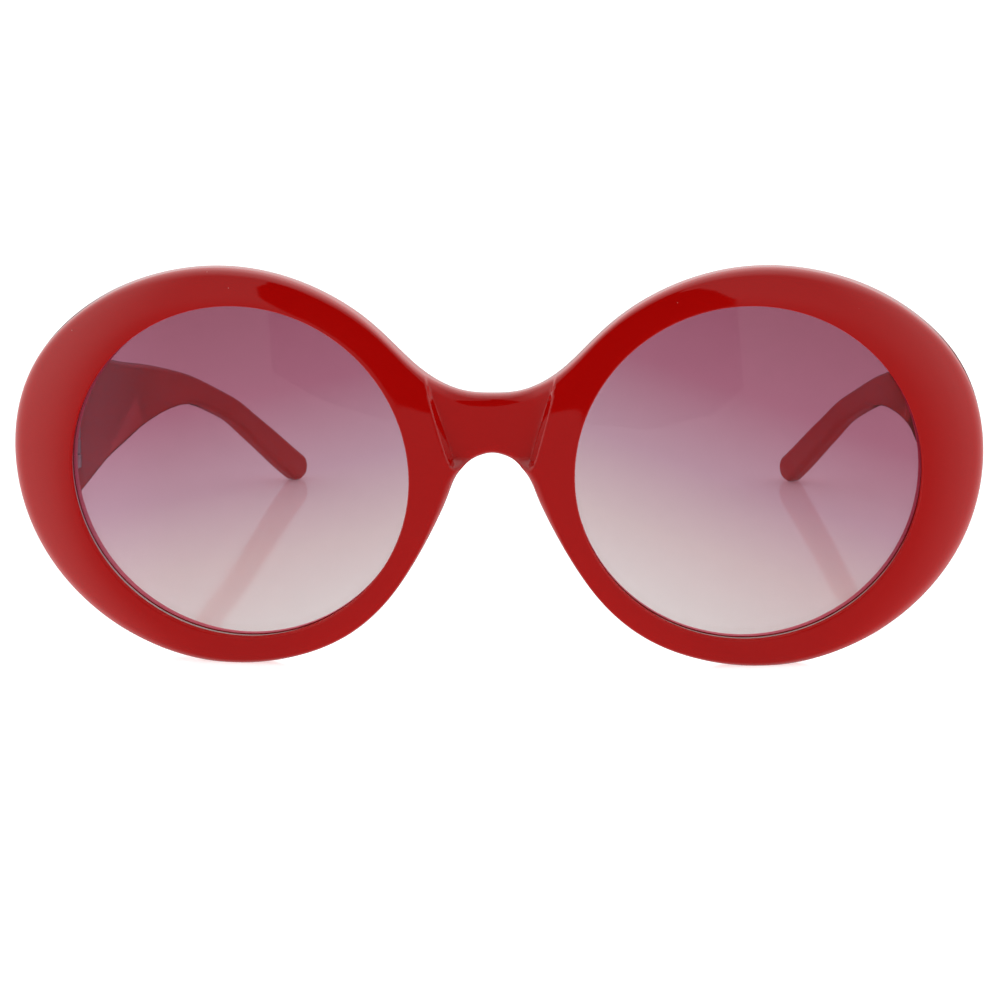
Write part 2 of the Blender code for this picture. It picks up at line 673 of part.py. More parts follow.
def stand_at_origin(root, objects):
    """Moves the root so that the middle of the objects' box is over the origin."""
    bpy.context.view_layer.update()
    graph = bpy.context.evaluated_depsgraph_get()
    ys = []
    for obj in objects:
        evaluated = obj.evaluated_get(graph)
        mesh = evaluated.to_mesh()
        ys += [(evaluated.matrix_world @ vertex.co).y for vertex in mesh.vertices]
        evaluated.to_mesh_clear()
    root.location.y = -(min(ys) + max(ys)) / 2


def build():
    clear_scene()
    parts = new_collection(COLLECTION_NAME)
    cutters = new_collection(COLLECTION_NAME + "_cutters")
    root = add_empty("sunglasses", parts, None)
    front_plane = add_empty("front_plane", parts, root, rotation=(math.pi / 2 + LEAN_ANGLE, 0, 0))
    rise = lens_rise()
    made = []

    front = add_object("front_frame", front_mesh(), parts, front_plane)
    front.location.y = rise
    mirror = front.modifiers.new("both_halves", "MIRROR")
    mirror.use_mirror_merge = True
    mirror.merge_threshold = MERGE_DISTANCE
    made.append(front)

    for word, side in SIDES.items():
        still = add_empty(f"hinge_{word}", parts, root, (side * AXIS_X, HINGE_DEPTH, HINGE_RISE))
        folding = add_empty(f"fold_axis_{word}", parts, root, (side * AXIS_X, HINGE_DEPTH, HINGE_RISE))

        lug = add_object(f"lug_{word}", pivot_local(lug_mesh(f"lug_{word}", side), side), cutters, still)
        combine(front, lug, "UNION")
        for cutter in hinge_pocket(f"cut_front_hinge_{word}", side, -1, cutters, still):
            combine(front, cutter, "DIFFERENCE")

        made.append(add_lens(f"lens_{word}", side, parts, front_plane, rise))
        pad = add_object(f"nose_pad_{word}", pad_mesh(f"nose_pad_{word}", side), parts, front_plane)
        pad.location.y = rise
        paint(pad, "pad")
        made.append(pad)

        temple_mesh = loft_mesh(f"temple_{word}", mirrored(temple_sections(), side))
        temple = add_object(f"temple_{word}", pivot_local(temple_mesh, side), parts, folding)
        for cutter in hinge_pocket(f"cut_temple_hinge_{word}", side, 1, cutters, folding):
            combine(temple, cutter, "DIFFERENCE")
        offset = np.array((side * AXIS_X, HINGE_DEPTH, HINGE_RISE))
        channel_path = mirrored(wire_route(np.linspace(0, WIRE_END_SHARE, WIRE_STATIONS)), side) - offset
        mouth = channel_path[0] - (0, OVERRUN, 0)
        channel = tube(
            f"cut_wire_channel_{word}", [mouth, *channel_path], CHANNEL_RADIUS, cutters, folding,
        )
        combine(temple, channel, "DIFFERENCE")
        paint(temple, "frame")
        wire_shares = np.linspace(WIRE_START_SHARE, WIRE_END_SHARE - WIRE_START_SHARE, WIRE_STATIONS)
        wire_path = mirrored(wire_route(wire_shares), side) - offset
        wire = tube(f"core_wire_{word}", wire_path, WIRE_RADIUS, parts, folding)
        paint(wire, "steel")
        made += [temple, wire]

        middle = MIDDLE_BARREL_HEIGHT / 2
        inside, outside = middle + BARREL_GAP, LEAF_HEIGHT / 2
        ends = (-outside, -inside), (inside, outside)
        made.append(add_leaf(f"hinge_front_leaf_{word}", side, -1, ends, parts, cutters, still))
        centre = ((-middle, middle),)
        made.append(add_leaf(f"hinge_temple_leaf_{word}", side, 1, centre, parts, cutters, folding))
        made.append(add_screw(f"hinge_screw_{word}", parts, cutters, still))

    facet = facet_cutter(cutters, front_plane, rise)
    combine(front, facet, "DIFFERENCE")
    half_span = LENS_X + OPENING_RADIUS
    floor = box(
        "cut_floor", (-half_span, -half_span, -OVERRUN), (half_span, half_span, 0), cutters, root,
    )
    combine(front, floor, "DIFFERENCE")
    paint(front, "frame")
    for obj in made:
        smooth_shading(obj.data)
    stand_at_origin(root, made)


build()
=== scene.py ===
"""Round sunglasses in polished red plastic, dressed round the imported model.

Lengths are metres and angles radians. +X is the wearer's left, the front faces -Y and +Z is up. The front is
worked out in its own plane, as (x, s, w): x across, s up the plane from the lens centres and w forwards.
"""

import json
import logging
import math
from dataclasses import dataclass
from enum import Enum

import bmesh
import bpy
import numpy as np
from mathutils import Matrix


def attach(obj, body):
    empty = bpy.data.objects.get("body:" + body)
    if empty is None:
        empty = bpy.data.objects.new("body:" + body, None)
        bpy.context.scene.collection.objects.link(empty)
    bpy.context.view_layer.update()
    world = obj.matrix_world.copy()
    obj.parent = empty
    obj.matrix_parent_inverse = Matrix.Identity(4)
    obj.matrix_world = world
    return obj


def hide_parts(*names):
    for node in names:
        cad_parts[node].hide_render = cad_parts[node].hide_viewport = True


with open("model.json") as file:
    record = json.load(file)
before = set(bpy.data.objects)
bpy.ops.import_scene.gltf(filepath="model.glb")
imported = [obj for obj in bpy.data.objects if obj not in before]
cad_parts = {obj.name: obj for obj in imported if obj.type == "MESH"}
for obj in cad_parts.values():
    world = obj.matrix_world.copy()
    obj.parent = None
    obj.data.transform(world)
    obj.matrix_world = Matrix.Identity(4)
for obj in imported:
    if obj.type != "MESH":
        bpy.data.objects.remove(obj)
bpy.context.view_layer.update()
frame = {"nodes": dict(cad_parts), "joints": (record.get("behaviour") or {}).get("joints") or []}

LOG = logging.getLogger("sunglasses")
JOIN_DISTANCE = 0.000002
SHARP_ANGLE = math.radians(38)
# How near their axis the ends of turned pieces start
AXIS_RADIUS = 0.00001
# The least cosine between a face's normal and a direction that it is said to face
SQUARE_ON = 0.6
SIDES = {"left": 1, "right": -1}


class Operation(Enum):
    """How a helper shape changes a piece."""

    JOIN = "UNION"
    CUT = "DIFFERENCE"


class Body(Enum):
    """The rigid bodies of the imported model."""

    FRONT = "front"
    TEMPLE_LEFT = "temple_left"
    TEMPLE_RIGHT = "temple_right"

    @classmethod
    def temple(cls, word: str) -> "Body":
        """The temple body of a side."""
        return cls[f"TEMPLE_{word.upper()}"]


# Numbers and curves


def smooth_step(value: np.ndarray, low: float, high: float) -> np.ndarray:
    """Rises from 0 at low to 1 at high along 3t^2 - 2t^3."""
    t = np.clip((value - low) / (high - low), 0, 1)
    return t * t * (3 - 2 * t)


def soft_min(a: np.ndarray, b: np.ndarray, blend: float) -> np.ndarray:
    """The lower of two heights, with their crease rounded off over a height of blend.

    The rounding is min(a, b) - blend h^2 / 4, where h = max(blend - |a - b|, 0) / blend.
    """
    near = np.maximum(blend - np.abs(a - b), 0) / blend
    return np.minimum(a, b) - near * near * blend / 4


def spline(
    knots: np.ndarray, values: np.ndarray, places: np.ndarray, end_slopes: np.ndarray | None = None,
) -> np.ndarray:
    """A cubic spline through values at knots.

    Each span is the straight line plus h^2/6 [(a^3 - a) m0 + (b^3 - b) m1], with a and b the shares before
    and after, and m the second derivatives that make the slopes meet.

    Args:
        knots: rising parameters, one per value.
        values: the points, one row each.
        places: where the curve is read.
        end_slopes: the two end slopes, or None for free ends.

    Returns:
        One row per place.
    """
    knots, values = np.asarray(knots, float), np.asarray(values, float)
    steps = np.diff(knots)
    rises = np.diff(values, axis=0) / steps[:, None]
    count = len(knots)
    inner = np.arange(1, count - 1)
    system, wanted = np.zeros((count, count)), np.zeros(values.shape)
    system[inner, inner - 1] = steps[:-1]
    system[inner, inner] = 2 * (steps[:-1] + steps[1:])
    system[inner, inner + 1] = steps[1:]
    wanted[1:-1] = 6 * (rises[1:] - rises[:-1])
    system[0, 0] = system[-1, -1] = 1
    if end_slopes is not None:
        system[0, :2] = 2 * steps[0], steps[0]
        system[-1, -2:] = steps[-1], 2 * steps[-1]
        wanted[0] = 6 * (rises[0] - end_slopes[0])
        wanted[-1] = 6 * (end_slopes[1] - rises[-1])
    bends = np.linalg.solve(system, wanted)
    cell = np.clip(np.searchsorted(knots, places) - 1, 0, count - 2)
    step = steps[cell][:, None]
    after = (np.asarray(places) - knots[cell])[:, None] / step
    before = 1 - after
    bowed = (before ** 3 - before) * bends[cell] + (after ** 3 - after) * bends[cell + 1]
    return before * values[cell] + after * values[cell + 1] + step ** 2 * bowed / 6


def evened(angles: np.ndarray, reach: int) -> np.ndarray:
    """The angles of a closed ring, each set to the mean of those up to reach places before and after it."""
    turns = np.unwrap(np.concatenate([angles, angles[:1]]))
    even = np.linspace(turns[0], turns[-1], len(turns))
    strays = (turns - even)[:-1]
    strays = np.concatenate([strays[-reach:], strays, strays[:reach]])
    width = 2 * reach + 1
    return even[:-1] + np.convolve(strays, np.full(width, 1 / width), "valid")


def running_length(points: np.ndarray) -> np.ndarray:
    """How far along a line each of its points lies."""
    return np.concatenate([[0], np.cumsum(np.linalg.norm(np.diff(points, axis=0), axis=1))])


def unit(vectors: np.ndarray) -> np.ndarray:
    """Vectors scaled to length 1."""
    return vectors / np.linalg.norm(vectors, axis=-1, keepdims=True)


# Meshes


def mesh_object(name: str, points: np.ndarray, faces: list) -> bpy.types.Object:
    """An object at the origin from points and faces, its doubles merged and its normals outwards."""
    mesh = bpy.data.meshes.new(name)
    mesh.from_pydata(np.asarray(points, float).reshape(-1, 3).tolist(), [], faces)
    shape = bmesh.new()
    shape.from_mesh(mesh)
    bmesh.ops.remove_doubles(shape, verts=shape.verts, dist=JOIN_DISTANCE)
    bmesh.ops.delete(shape, geom=[v for v in shape.verts if not v.link_faces], context="VERTS")
    bmesh.ops.recalc_face_normals(shape, faces=shape.faces)
    shape.to_mesh(mesh)
    shape.free()
    piece = bpy.data.objects.new(name, mesh)
    bpy.context.scene.collection.objects.link(piece)
    return piece


def grid_faces(rows: int, columns: int, close_rows: bool, close_columns: bool) -> np.ndarray:
    """The quads of a grid of rows x columns points, as indices.

    Args:
        rows: number of rows.
        columns: points in a row.
        close_rows: whether the last row joins the first.
        close_columns: whether a row's last point joins its first.

    Returns:
        An array with four indices per quad.
    """
    i = np.arange(rows if close_rows else rows - 1)[:, None]
    j = np.arange(columns if close_columns else columns - 1)[None, :]
    k, m = (i + 1) % rows, (j + 1) % columns
    corners = (i * columns + j, i * columns + m, k * columns + m, k * columns + j)
    return np.stack(np.broadcast_arrays(*corners), axis=-1).reshape(-1, 4)


def loft(name: str, sections: np.ndarray) -> bpy.types.Object:
    """A closed skin over a stack of rings, each end closed by a fan round its middle.

    Args:
        name: the object's name.
        sections: array of rings x points x 3.

    Returns:
        The new object.
    """
    count, size = sections.shape[:2]
    points = np.concatenate([sections.reshape(-1, 3), sections[[0, -1]].mean(axis=1)])
    faces = grid_faces(count, size, False, True).tolist()
    ring = np.arange(size)
    for middle, start in ((count * size, 0), (count * size + 1, (count - 1) * size)):
        faces += np.stack([np.full(size, middle), start + ring, start + np.roll(ring, -1)], axis=1).tolist()
    return mesh_object(name, points, faces)


def turned(name: str, profile: np.ndarray, centre: np.ndarray, steps: int) -> bpy.types.Object:
    """A turned piece about the upright axis through centre: x = r cos a, y = r sin a, z = h.

    Args:
        name: the object's name.
        profile: (radius, height) rows, from the axis at the bottom round to the axis at the top.
        centre: the point of the axis at height 0.
        steps: points round the axis.

    Returns:
        The new object.
    """
    angle = np.linspace(0, 2 * math.pi, steps, endpoint=False)
    radius, height = np.asarray(profile, float).T
    across, back = radius[:, None] * np.cos(angle), radius[:, None] * np.sin(angle)
    return loft(name, np.stack([across, back, np.repeat(height[:, None], steps, 1)], axis=-1) + centre)


def slab(name: str, low: np.ndarray, high: np.ndarray, edge: float = 0.0, steps: int = 4) -> bpy.types.Object:
    """A box between two corners, its upright edges rounded to a radius of edge, its top and bottom softened.

    The outline is a rectangle shrunk by edge and grown again by a circle, and the rings above and below
    follow a quarter circle of half that radius.
    """
    low, high = np.minimum(low, high), np.maximum(low, high)
    if edge == 0:
        x, y, z = np.stack([low, high], axis=1)
        ring = np.array([(x[0], y[0]), (x[1], y[0]), (x[1], y[1]), (x[0], y[1])])
        return loft(name, np.stack([np.column_stack([ring, np.full(4, level)]) for level in z]))
    middle, half = (low + high) / 2, (high - low) / 2
    count = 4 * steps + 4
    angle = np.linspace(0, 2 * math.pi, count, endpoint=False) + math.pi / count
    out = np.column_stack([np.cos(angle), np.sin(angle)])
    core = np.sign(out) * (half[:2] - edge)
    turn, soft = np.linspace(0, math.pi / 2, steps), edge / 2
    inset, level = soft * (1 - np.cos(turn)), half[2] - soft * (1 - np.sin(turn))
    rings = [np.column_stack([core + out * (edge - away), np.full(count, height)])
             for away, height in zip((*inset[::-1], *inset), (*-level[::-1], *level))]
    return loft(name, np.array(rings) + middle)


def tube(name: str, path: np.ndarray, radius: float, points: int = 16) -> bpy.types.Object:
    """A round bar: at each point of the path, a circle across the path's direction."""
    along = unit(np.gradient(path, axis=0))
    side = unit(np.cross(along, (0.0, 0.0, 1.0)))
    up = np.cross(side, along)
    angle = np.linspace(0, 2 * math.pi, points, endpoint=False)[None, :, None]
    return loft(name, path[:, None] + radius * (side[:, None] * np.cos(angle) + up[:, None] * np.sin(angle)))


def combine(piece: bpy.types.Object, helper: bpy.types.Object, operation: Operation) -> bpy.types.Object:
    """Joins a helper to a piece or cuts it out, keeps the result as the piece's mesh, removes the helper."""
    modifier = piece.modifiers.new(helper.name, "BOOLEAN")
    modifier.operation, modifier.solver, modifier.object = operation.value, "EXACT", helper
    bpy.context.view_layer.update()
    mesh = bpy.data.meshes.new_from_object(piece.evaluated_get(bpy.context.evaluated_depsgraph_get()))
    piece.modifiers.clear()
    piece.data = mesh
    bpy.data.objects.remove(helper)
    return piece


def dress(piece: bpy.types.Object, *materials: bpy.types.Material) -> None:
    """Gives a piece its materials, in place of any it has."""
    piece.data.materials.clear()
    for material in materials:
        piece.data.materials.append(material)


def finish_piece(
    piece: bpy.types.Object, body: Body, node: str, slot: str, *materials: bpy.types.Material,
) -> None:
    """Shades a piece, gives it its materials and body, and lets it stand for a CAD node."""
    piece.data.shade_smooth()
    piece.data.set_sharp_from_angle(angle=SHARP_ANGLE)
    dress(piece, *materials)
    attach(piece, body.value)
    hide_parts(node)
    LOG.info("%s: %d faces, rides on %s", piece.name, len(piece.data.polygons), body.value)


def faces_of(piece: bpy.types.Object) -> tuple[np.ndarray, np.ndarray]:
    """The middles and normals of a piece's faces, one row each."""
    faces = piece.data.polygons
    return np.array([face.center[:] for face in faces]), np.array([face.normal[:] for face in faces])


def paint(piece: bpy.types.Object, chosen: np.ndarray, index: int) -> None:
    """Gives the chosen faces the piece's material of that number."""
    for face in np.flatnonzero(chosen):
        piece.data.polygons[int(face)].material_index = index


# Shader graphs


class Link:
    """A node's output socket that takes part in arithmetic."""

    def __init__(self, graph: "Graph", socket: bpy.types.NodeSocket) -> None:
        """Keeps the socket and the graph that it belongs to."""
        self.graph, self.socket = graph, socket

    def _math(self, operation: str, *values: "Link | float") -> "Link":
        """Adds a Math node over the values."""
        return self.graph.node("ShaderNodeMath", {"operation": operation}, dict(enumerate(values)))

    def __add__(self, other: "Link | float") -> "Link":
        """This plus other."""
        return self._math("ADD", self, other)

    __radd__ = __add__

    def __sub__(self, other: "Link | float") -> "Link":
        """This minus other."""
        return self._math("SUBTRACT", self, other)

    def __rsub__(self, other: float) -> "Link":
        """Other minus this."""
        return self._math("SUBTRACT", other, self)

    def __mul__(self, other: "Link | float") -> "Link":
        """This times other."""
        return self._math("MULTIPLY", self, other)

    __rmul__ = __mul__

    def __lt__(self, other: "Link | float") -> "Link":
        """1 where this is less than other, else 0."""
        return self._math("LESS_THAN", self, other)

    def __abs__(self) -> "Link":
        """This without its sign."""
        return self._math("ABSOLUTE", self)

    def ramp(self, low: float, high: float) -> "Link":
        """0 at low to 1 at high, held within them and smoothed."""
        inputs = {"Value": self, "From Min": low, "From Max": high}
        return self.graph.node("ShaderNodeMapRange", {"interpolation_type": "SMOOTHSTEP"}, inputs)

    def rise(self, start: float, low: float, high: float) -> "Link":
        """Goes evenly from low, where this is start, to high, where this is 1."""
        inputs = {"Value": self, "From Min": start, "To Min": low, "To Max": high}
        return self.graph.node("ShaderNodeMapRange", inputs=inputs)


class Graph:
    """The node tree of a material or a world."""

    def __init__(self, owner: bpy.types.Material | bpy.types.World) -> None:
        """Gives the owner its nodes."""
        owner.use_nodes = True
        self.owner, self.tree = owner, owner.node_tree

    @classmethod
    def material(cls, name: str) -> "Graph":
        """The graph of a new material."""
        return cls(bpy.data.materials.new(name))

    def node(
        self, kind: str, settings: dict | None = None, inputs: dict | None = None, output: int | str = 0,
    ) -> Link:
        """Adds a node.

        Args:
            kind: the node's type.
            settings: its properties, and "stops" for a ramp's (place, colour) pairs.
            inputs: values or links by socket name or number.
            output: the socket to return.

        Returns:
            The chosen output.
        """
        node = self.tree.nodes.new(kind)
        for key, value in (settings or {}).items():
            if key == "stops":
                self._set_stops(node.color_ramp, value)
            else:
                setattr(node, key, value)
        for key, value in (inputs or {}).items():
            self._set(node.inputs[key], value)
        return Link(self, node.outputs[output])

    @staticmethod
    def _set_stops(ramp: bpy.types.ColorRamp, stops: tuple) -> None:
        """Fills a colour ramp with (place, colour) pairs."""
        while len(ramp.elements) < len(stops):
            ramp.elements.new(1.0)
        for element, (place, color) in zip(ramp.elements, stops):
            element.position, element.color = place, (*color, 1.0)

    def _set(self, socket: bpy.types.NodeSocket, value: "Link | float | tuple") -> None:
        """Links a socket, or sets its own value."""
        if isinstance(value, Link):
            self.tree.links.new(value.socket, socket)
        else:
            socket.default_value = value

    def shade(
        self, shader: str = "Principled BSDF", **values: "Link | float | tuple",
    ) -> bpy.types.Material | bpy.types.World:
        """Sets a shader's sockets, named with underscores for spaces, and returns the graph's owner."""
        for key, value in values.items():
            self._set(self.tree.nodes[shader].inputs[key.replace("_", " ")], value)
        return self.owner

    def place(self, scale: tuple = (1.0, 1.0, 1.0)) -> Link:
        """Object coordinates, scaled."""
        coordinates = self.node("ShaderNodeTexCoord", output="Object")
        return self.node("ShaderNodeMapping", inputs={"Vector": coordinates, "Scale": scale})

    def parts(self, vector: Link) -> tuple[Link, Link, Link]:
        """The three components of a vector."""
        first = self.node("ShaderNodeSeparateXYZ", inputs={"Vector": vector})
        sockets = first.socket.node.outputs
        return Link(self, sockets[0]), Link(self, sockets[1]), Link(self, sockets[2])

    def noise(self, scale: float, detail: float = 3.0, stretch: tuple = (1.0, 1.0, 1.0)) -> Link:
        """Noise of that many cells per metre, from 0 to 1."""
        inputs = {"Vector": self.place(stretch), "Scale": scale, "Detail": detail}
        return self.node("ShaderNodeTexNoise", inputs=inputs)

    def specks(self, scale: float, radius: float, share: float) -> Link:
        """1 on small round specks in a share of the cells, else 0.

        A cell of a Voronoi pattern has a speck if its random number is below share, where the distance from
        the cell's point is below radius cells.
        """
        inputs = {"Vector": self.place(), "Scale": scale}
        near = self.node("ShaderNodeTexVoronoi", inputs=inputs)
        random = self.node("ShaderNodeTexVoronoi", inputs=inputs, output="Color")
        chance = self.node("ShaderNodeSeparateColor", inputs={"Color": random})
        return (near < radius) * (chance < share)

    def mix(self, factor: "Link | float", low: "Link | tuple", high: "Link | tuple") -> Link:
        """A colour between low and high."""
        mixed = self.tree.nodes.new("ShaderNodeMix")
        mixed.data_type = "RGBA"
        colors = [socket for socket in mixed.inputs if socket.type == "RGBA"]
        self._set(mixed.inputs[0], factor)
        for socket, value in zip(colors, (low, high)):
            self._set(socket, value if isinstance(value, Link) else (*value, 1.0))
        return Link(self, next(socket for socket in mixed.outputs if socket.type == "RGBA"))

    def bump(self, height: Link, distance: float, strength: float) -> Link:
        """A normal bent by a height."""
        inputs = {"Height": height, "Distance": distance, "Strength": strength}
        return self.node("ShaderNodeBump", inputs=inputs)


# Finishes


@dataclass(frozen=True)
class PolishedPlastic:
    """Solid red plastic, tumbled to a shine, with faint moulding waves, smears and specks of dust."""

    name: str = "polished_red_plastic"
    deep: tuple = (0.318, 0.0012, 0.0008)
    bright: tuple = (0.334, 0.0016, 0.0010)
    cloud_scale: float = 60.0
    gloss: float = 0.045
    shine: float = 0.5
    haze: float = 0.03
    smear_scale: float = 90.0
    smear_stretch: tuple = (1.0, 1.0, 0.4)
    smear_reach: tuple = (0.45, 0.75)
    wave_scale: float = 130.0
    wave_height: float = 0.00002
    dust: tuple = (0.50, 0.16, 0.15)
    dust_scale: float = 900.0
    dust_radius: float = 0.09
    dust_share: float = 0.02
    dust_cover: float = 0.5
    dust_haze: float = 0.3

    def material(self) -> bpy.types.Material:
        """Builds the plastic's material."""
        graph = Graph.material(self.name)
        cloud = graph.noise(self.cloud_scale)
        dust = graph.specks(self.dust_scale, self.dust_radius, self.dust_share)
        smear = graph.noise(self.smear_scale, 4.0, self.smear_stretch).ramp(*self.smear_reach)
        return graph.shade(
            Base_Color=graph.mix(dust * self.dust_cover, graph.mix(cloud, self.deep, self.bright), self.dust),
            Roughness=self.gloss + smear * self.haze + dust * self.dust_haze, IOR=1.49,
            Normal=graph.bump(graph.noise(self.wave_scale, 1.0), self.wave_height, 1.0),
            Specular_IOR_Level=self.shine,
        )


@dataclass(frozen=True)
class GlowPaintedWall:
    """The unpolished walls of the lens openings, with an emission glow that paints light on them."""

    name: str
    dark: tuple
    light: tuple
    # How strongly the walls glow: painted light, as the walls are no lamp
    glow: float
    grain_scale: float = 700.0
    dullness: float = 0.6
    shine: float = 0.1

    def material(self) -> bpy.types.Material:
        """Builds the walls' material."""
        graph = Graph.material(self.name)
        color = graph.mix(graph.noise(self.grain_scale), self.dark, self.light)
        return graph.shade(
            Base_Color=color, Roughness=self.dullness, Specular_IOR_Level=self.shine, Emission_Color=color,
            Emission_Strength=self.glow,
        )


@dataclass(frozen=True)
class GradientTint:
    """Clear plastic dyed plum at the top, fading to nearly clear, with the fade tilted to the outer side.

    The lens on the -X side also has a painted reflection over its outer side: a faint emission glow.
    """

    side: int
    centre: tuple
    radius: float
    tilt: float
    # Share of the way up the lens, and the dye's colour there
    stops: tuple = (
        (0.0, (0.507, 0.470, 0.467)),
        (0.24, (0.420, 0.334, 0.343)),
        (0.47, (0.314, 0.189, 0.238)),
        (0.72, (0.247, 0.089, 0.134)),
        (1.0, (0.208, 0.062, 0.098)),
    )
    # Painted reflection: the glow's colour over the -X lens's outer side, and the reach of x where it fades
    # in
    painted_glare: tuple = (0.014, 0.010, 0.016)
    painted_glare_reach: tuple = (-0.008, -0.022)
    smudge_scale: float = 140.0
    smudge_reach: tuple = (0.5, 0.8)
    smudge_haze: float = 0.003

    def material(self) -> bpy.types.Material:
        """Builds the lens's material."""
        graph = Graph.material(f"gradient_tint_{'left' if self.side > 0 else 'right'}")
        from_centre = {0: graph.place(), 1: self.centre}
        away = graph.node("ShaderNodeVectorMath", {"operation": "SUBTRACT"}, from_centre)
        fade = (self.side * math.sin(self.tilt), 0.0, math.cos(self.tilt))
        height = graph.node("ShaderNodeVectorMath", {"operation": "DOT_PRODUCT"}, {0: away, 1: fade}, "Value")
        share = height * (0.5 / self.radius) + 0.5
        across, _, _ = graph.parts(away)
        return graph.shade(
            Base_Color=graph.node("ShaderNodeValToRGB", {"stops": self.stops}, {"Fac": share}),
            Roughness=graph.noise(self.smudge_scale).ramp(*self.smudge_reach) * self.smudge_haze,
            IOR=1.5, Transmission_Weight=1.0,
            Emission_Color=graph.mix(across.ramp(*self.painted_glare_reach), (0.0, 0.0, 0.0), self.painted_glare),
            Emission_Strength=1.0 if self.side < 0 else 0.0,
        )


@dataclass(frozen=True)
class GroundEdge:
    """The matt edge of a lens, as the edging wheel leaves it, with a painted glow for the light that the lens
    pipes to it.
    """

    color: tuple = (0.80, 0.75, 0.72)
    grain: float = 0.05
    grain_scale: float = 3000.0
    grain_haze: float = 0.1
    dullness: float = 0.5
    # Painted light: how strongly the edge glows, though it is no lamp
    painted_edge_glow: float = 0.25

    def material(self) -> bpy.types.Material:
        """Builds the edge's material."""
        graph = Graph.material("ground_lens_edge")
        grain = graph.noise(self.grain_scale, 2.0)
        color = graph.mix(grain, tuple(value - self.grain for value in self.color), self.color)
        return graph.shade(
            Base_Color=color, Roughness=grain * self.grain_haze + self.dullness, Emission_Color=color,
            Emission_Strength=self.painted_edge_glow,
        )


@dataclass(frozen=True)
class BrushedSteel:
    """Hinge steel, blanked and tumbled: fine lines along it and slightly darker in random patches."""

    light: tuple = (0.46, 0.44, 0.42)
    dark: tuple = (0.32, 0.305, 0.29)
    stain_scale: float = 500.0
    stain_reach: tuple = (0.3, 0.7)
    line_scale: float = 2200.0
    line_stretch: tuple = (1.0, 0.12, 1.0)
    line_depth: float = 0.000002
    line_strength: float = 0.15
    gloss: float = 0.22

    def material(self) -> bpy.types.Material:
        """Builds the steel's material."""
        graph = Graph.material("hinge_steel")
        lines = graph.noise(self.line_scale, stretch=self.line_stretch)
        stain = graph.noise(self.stain_scale).ramp(*self.stain_reach)
        return graph.shade(
            Base_Color=graph.mix(stain, self.light, self.dark), Metallic=1.0,
            Roughness=lines * self.line_strength + self.gloss,
            Normal=graph.bump(lines, self.line_depth, self.line_strength),
        )


@dataclass(frozen=True)
class PaleTable:
    """A plain pale acrylic table top with a slight sheen, lit from below before and behind the glasses."""

    color: tuple = (0.88, 0.88, 0.88)
    gloss: float = 0.07
    haze: float = 0.02
    haze_scale: float = 12.0
    shine: float = 0.3
    glow: float = 0.3
    glow_more: float = 0.35
    glow_front: tuple = (-0.0425, -0.050)
    glow_end: tuple = (-0.13, -0.09)
    glow_back: tuple = (0.35, 0.6)

    def material(self) -> bpy.types.Material:
        """Builds the table top's material."""
        graph = Graph.material("pale_table")
        _, back, _ = graph.parts(graph.place())
        near = back.ramp(*self.glow_front) * back.ramp(*self.glow_end)
        glow = self.glow + self.glow_more * (near + back.ramp(*self.glow_back))
        return graph.shade(
            Base_Color=(*self.color, 1.0), Roughness=self.gloss + graph.noise(self.haze_scale) * self.haze,
            Specular_IOR_Level=self.shine, Emission_Strength=1.0,
            Emission_Color=graph.mix(glow, (0.0, 0.0, 0.0), (1.0, 1.0, 1.0)),
        )


@dataclass(frozen=True)
class TentCloth:
    """White cloth lit from outside, as reflections see it: brightest behind and at the sides, dim below.

    Each glow is added over a reach of the direction (x, y, z) from the middle of the tent.
    """

    radius: float
    base: float = 0.27
    sides: float = 0.78
    sides_reach: tuple = (0.37, 0.84)
    upper: float = 0.18
    upper_reach: tuple = (-0.25, 0.05)
    back: float = 0.45
    back_reach: tuple = (-0.35, 0.25)
    top: float = 0.9
    top_reach: tuple = (0.6, 0.98)
    right_loss: float = 0.17
    right_reach: tuple = (0.4, 0.7)
    front_reach: tuple = (0.0, -0.5)
    lamp: float = 0.5
    lamp_back_reach: tuple = (0.1, 0.6)
    lamp_rise_reach: tuple = (0.08, 0.35)
    far_loss: float = 0.75
    far_reach: tuple = (0.8, 0.97)
    low_reach: tuple = (0.1, -0.1)
    brightest: float = 4.0

    def material(self) -> bpy.types.Material:
        """Builds the cloth's material."""
        graph = Graph.material("tent_cloth")
        x, y, z = graph.parts(graph.place((1 / self.radius,) * 3))
        glow = (
            self.base + self.sides * abs(x).ramp(*self.sides_reach) + self.upper * z.ramp(*self.upper_reach)
            + self.back * y.ramp(*self.back_reach) + self.top * z.ramp(*self.top_reach)
            - self.right_loss * x.ramp(*self.right_reach) * y.ramp(*self.front_reach)
            + self.lamp * y.ramp(*self.lamp_back_reach) * z.ramp(*self.lamp_rise_reach)
            - self.far_loss * y.ramp(*self.far_reach) * z.ramp(*self.low_reach)
        )
        share = glow * (1 / self.brightest)
        return graph.shade(
            Base_Color=(0.0, 0.0, 0.0, 1.0), Specular_IOR_Level=0.0, Emission_Strength=1.0,
            Emission_Color=graph.mix(share, (0.0, 0.0, 0.0), (self.brightest,) * 3),
        )


# The front


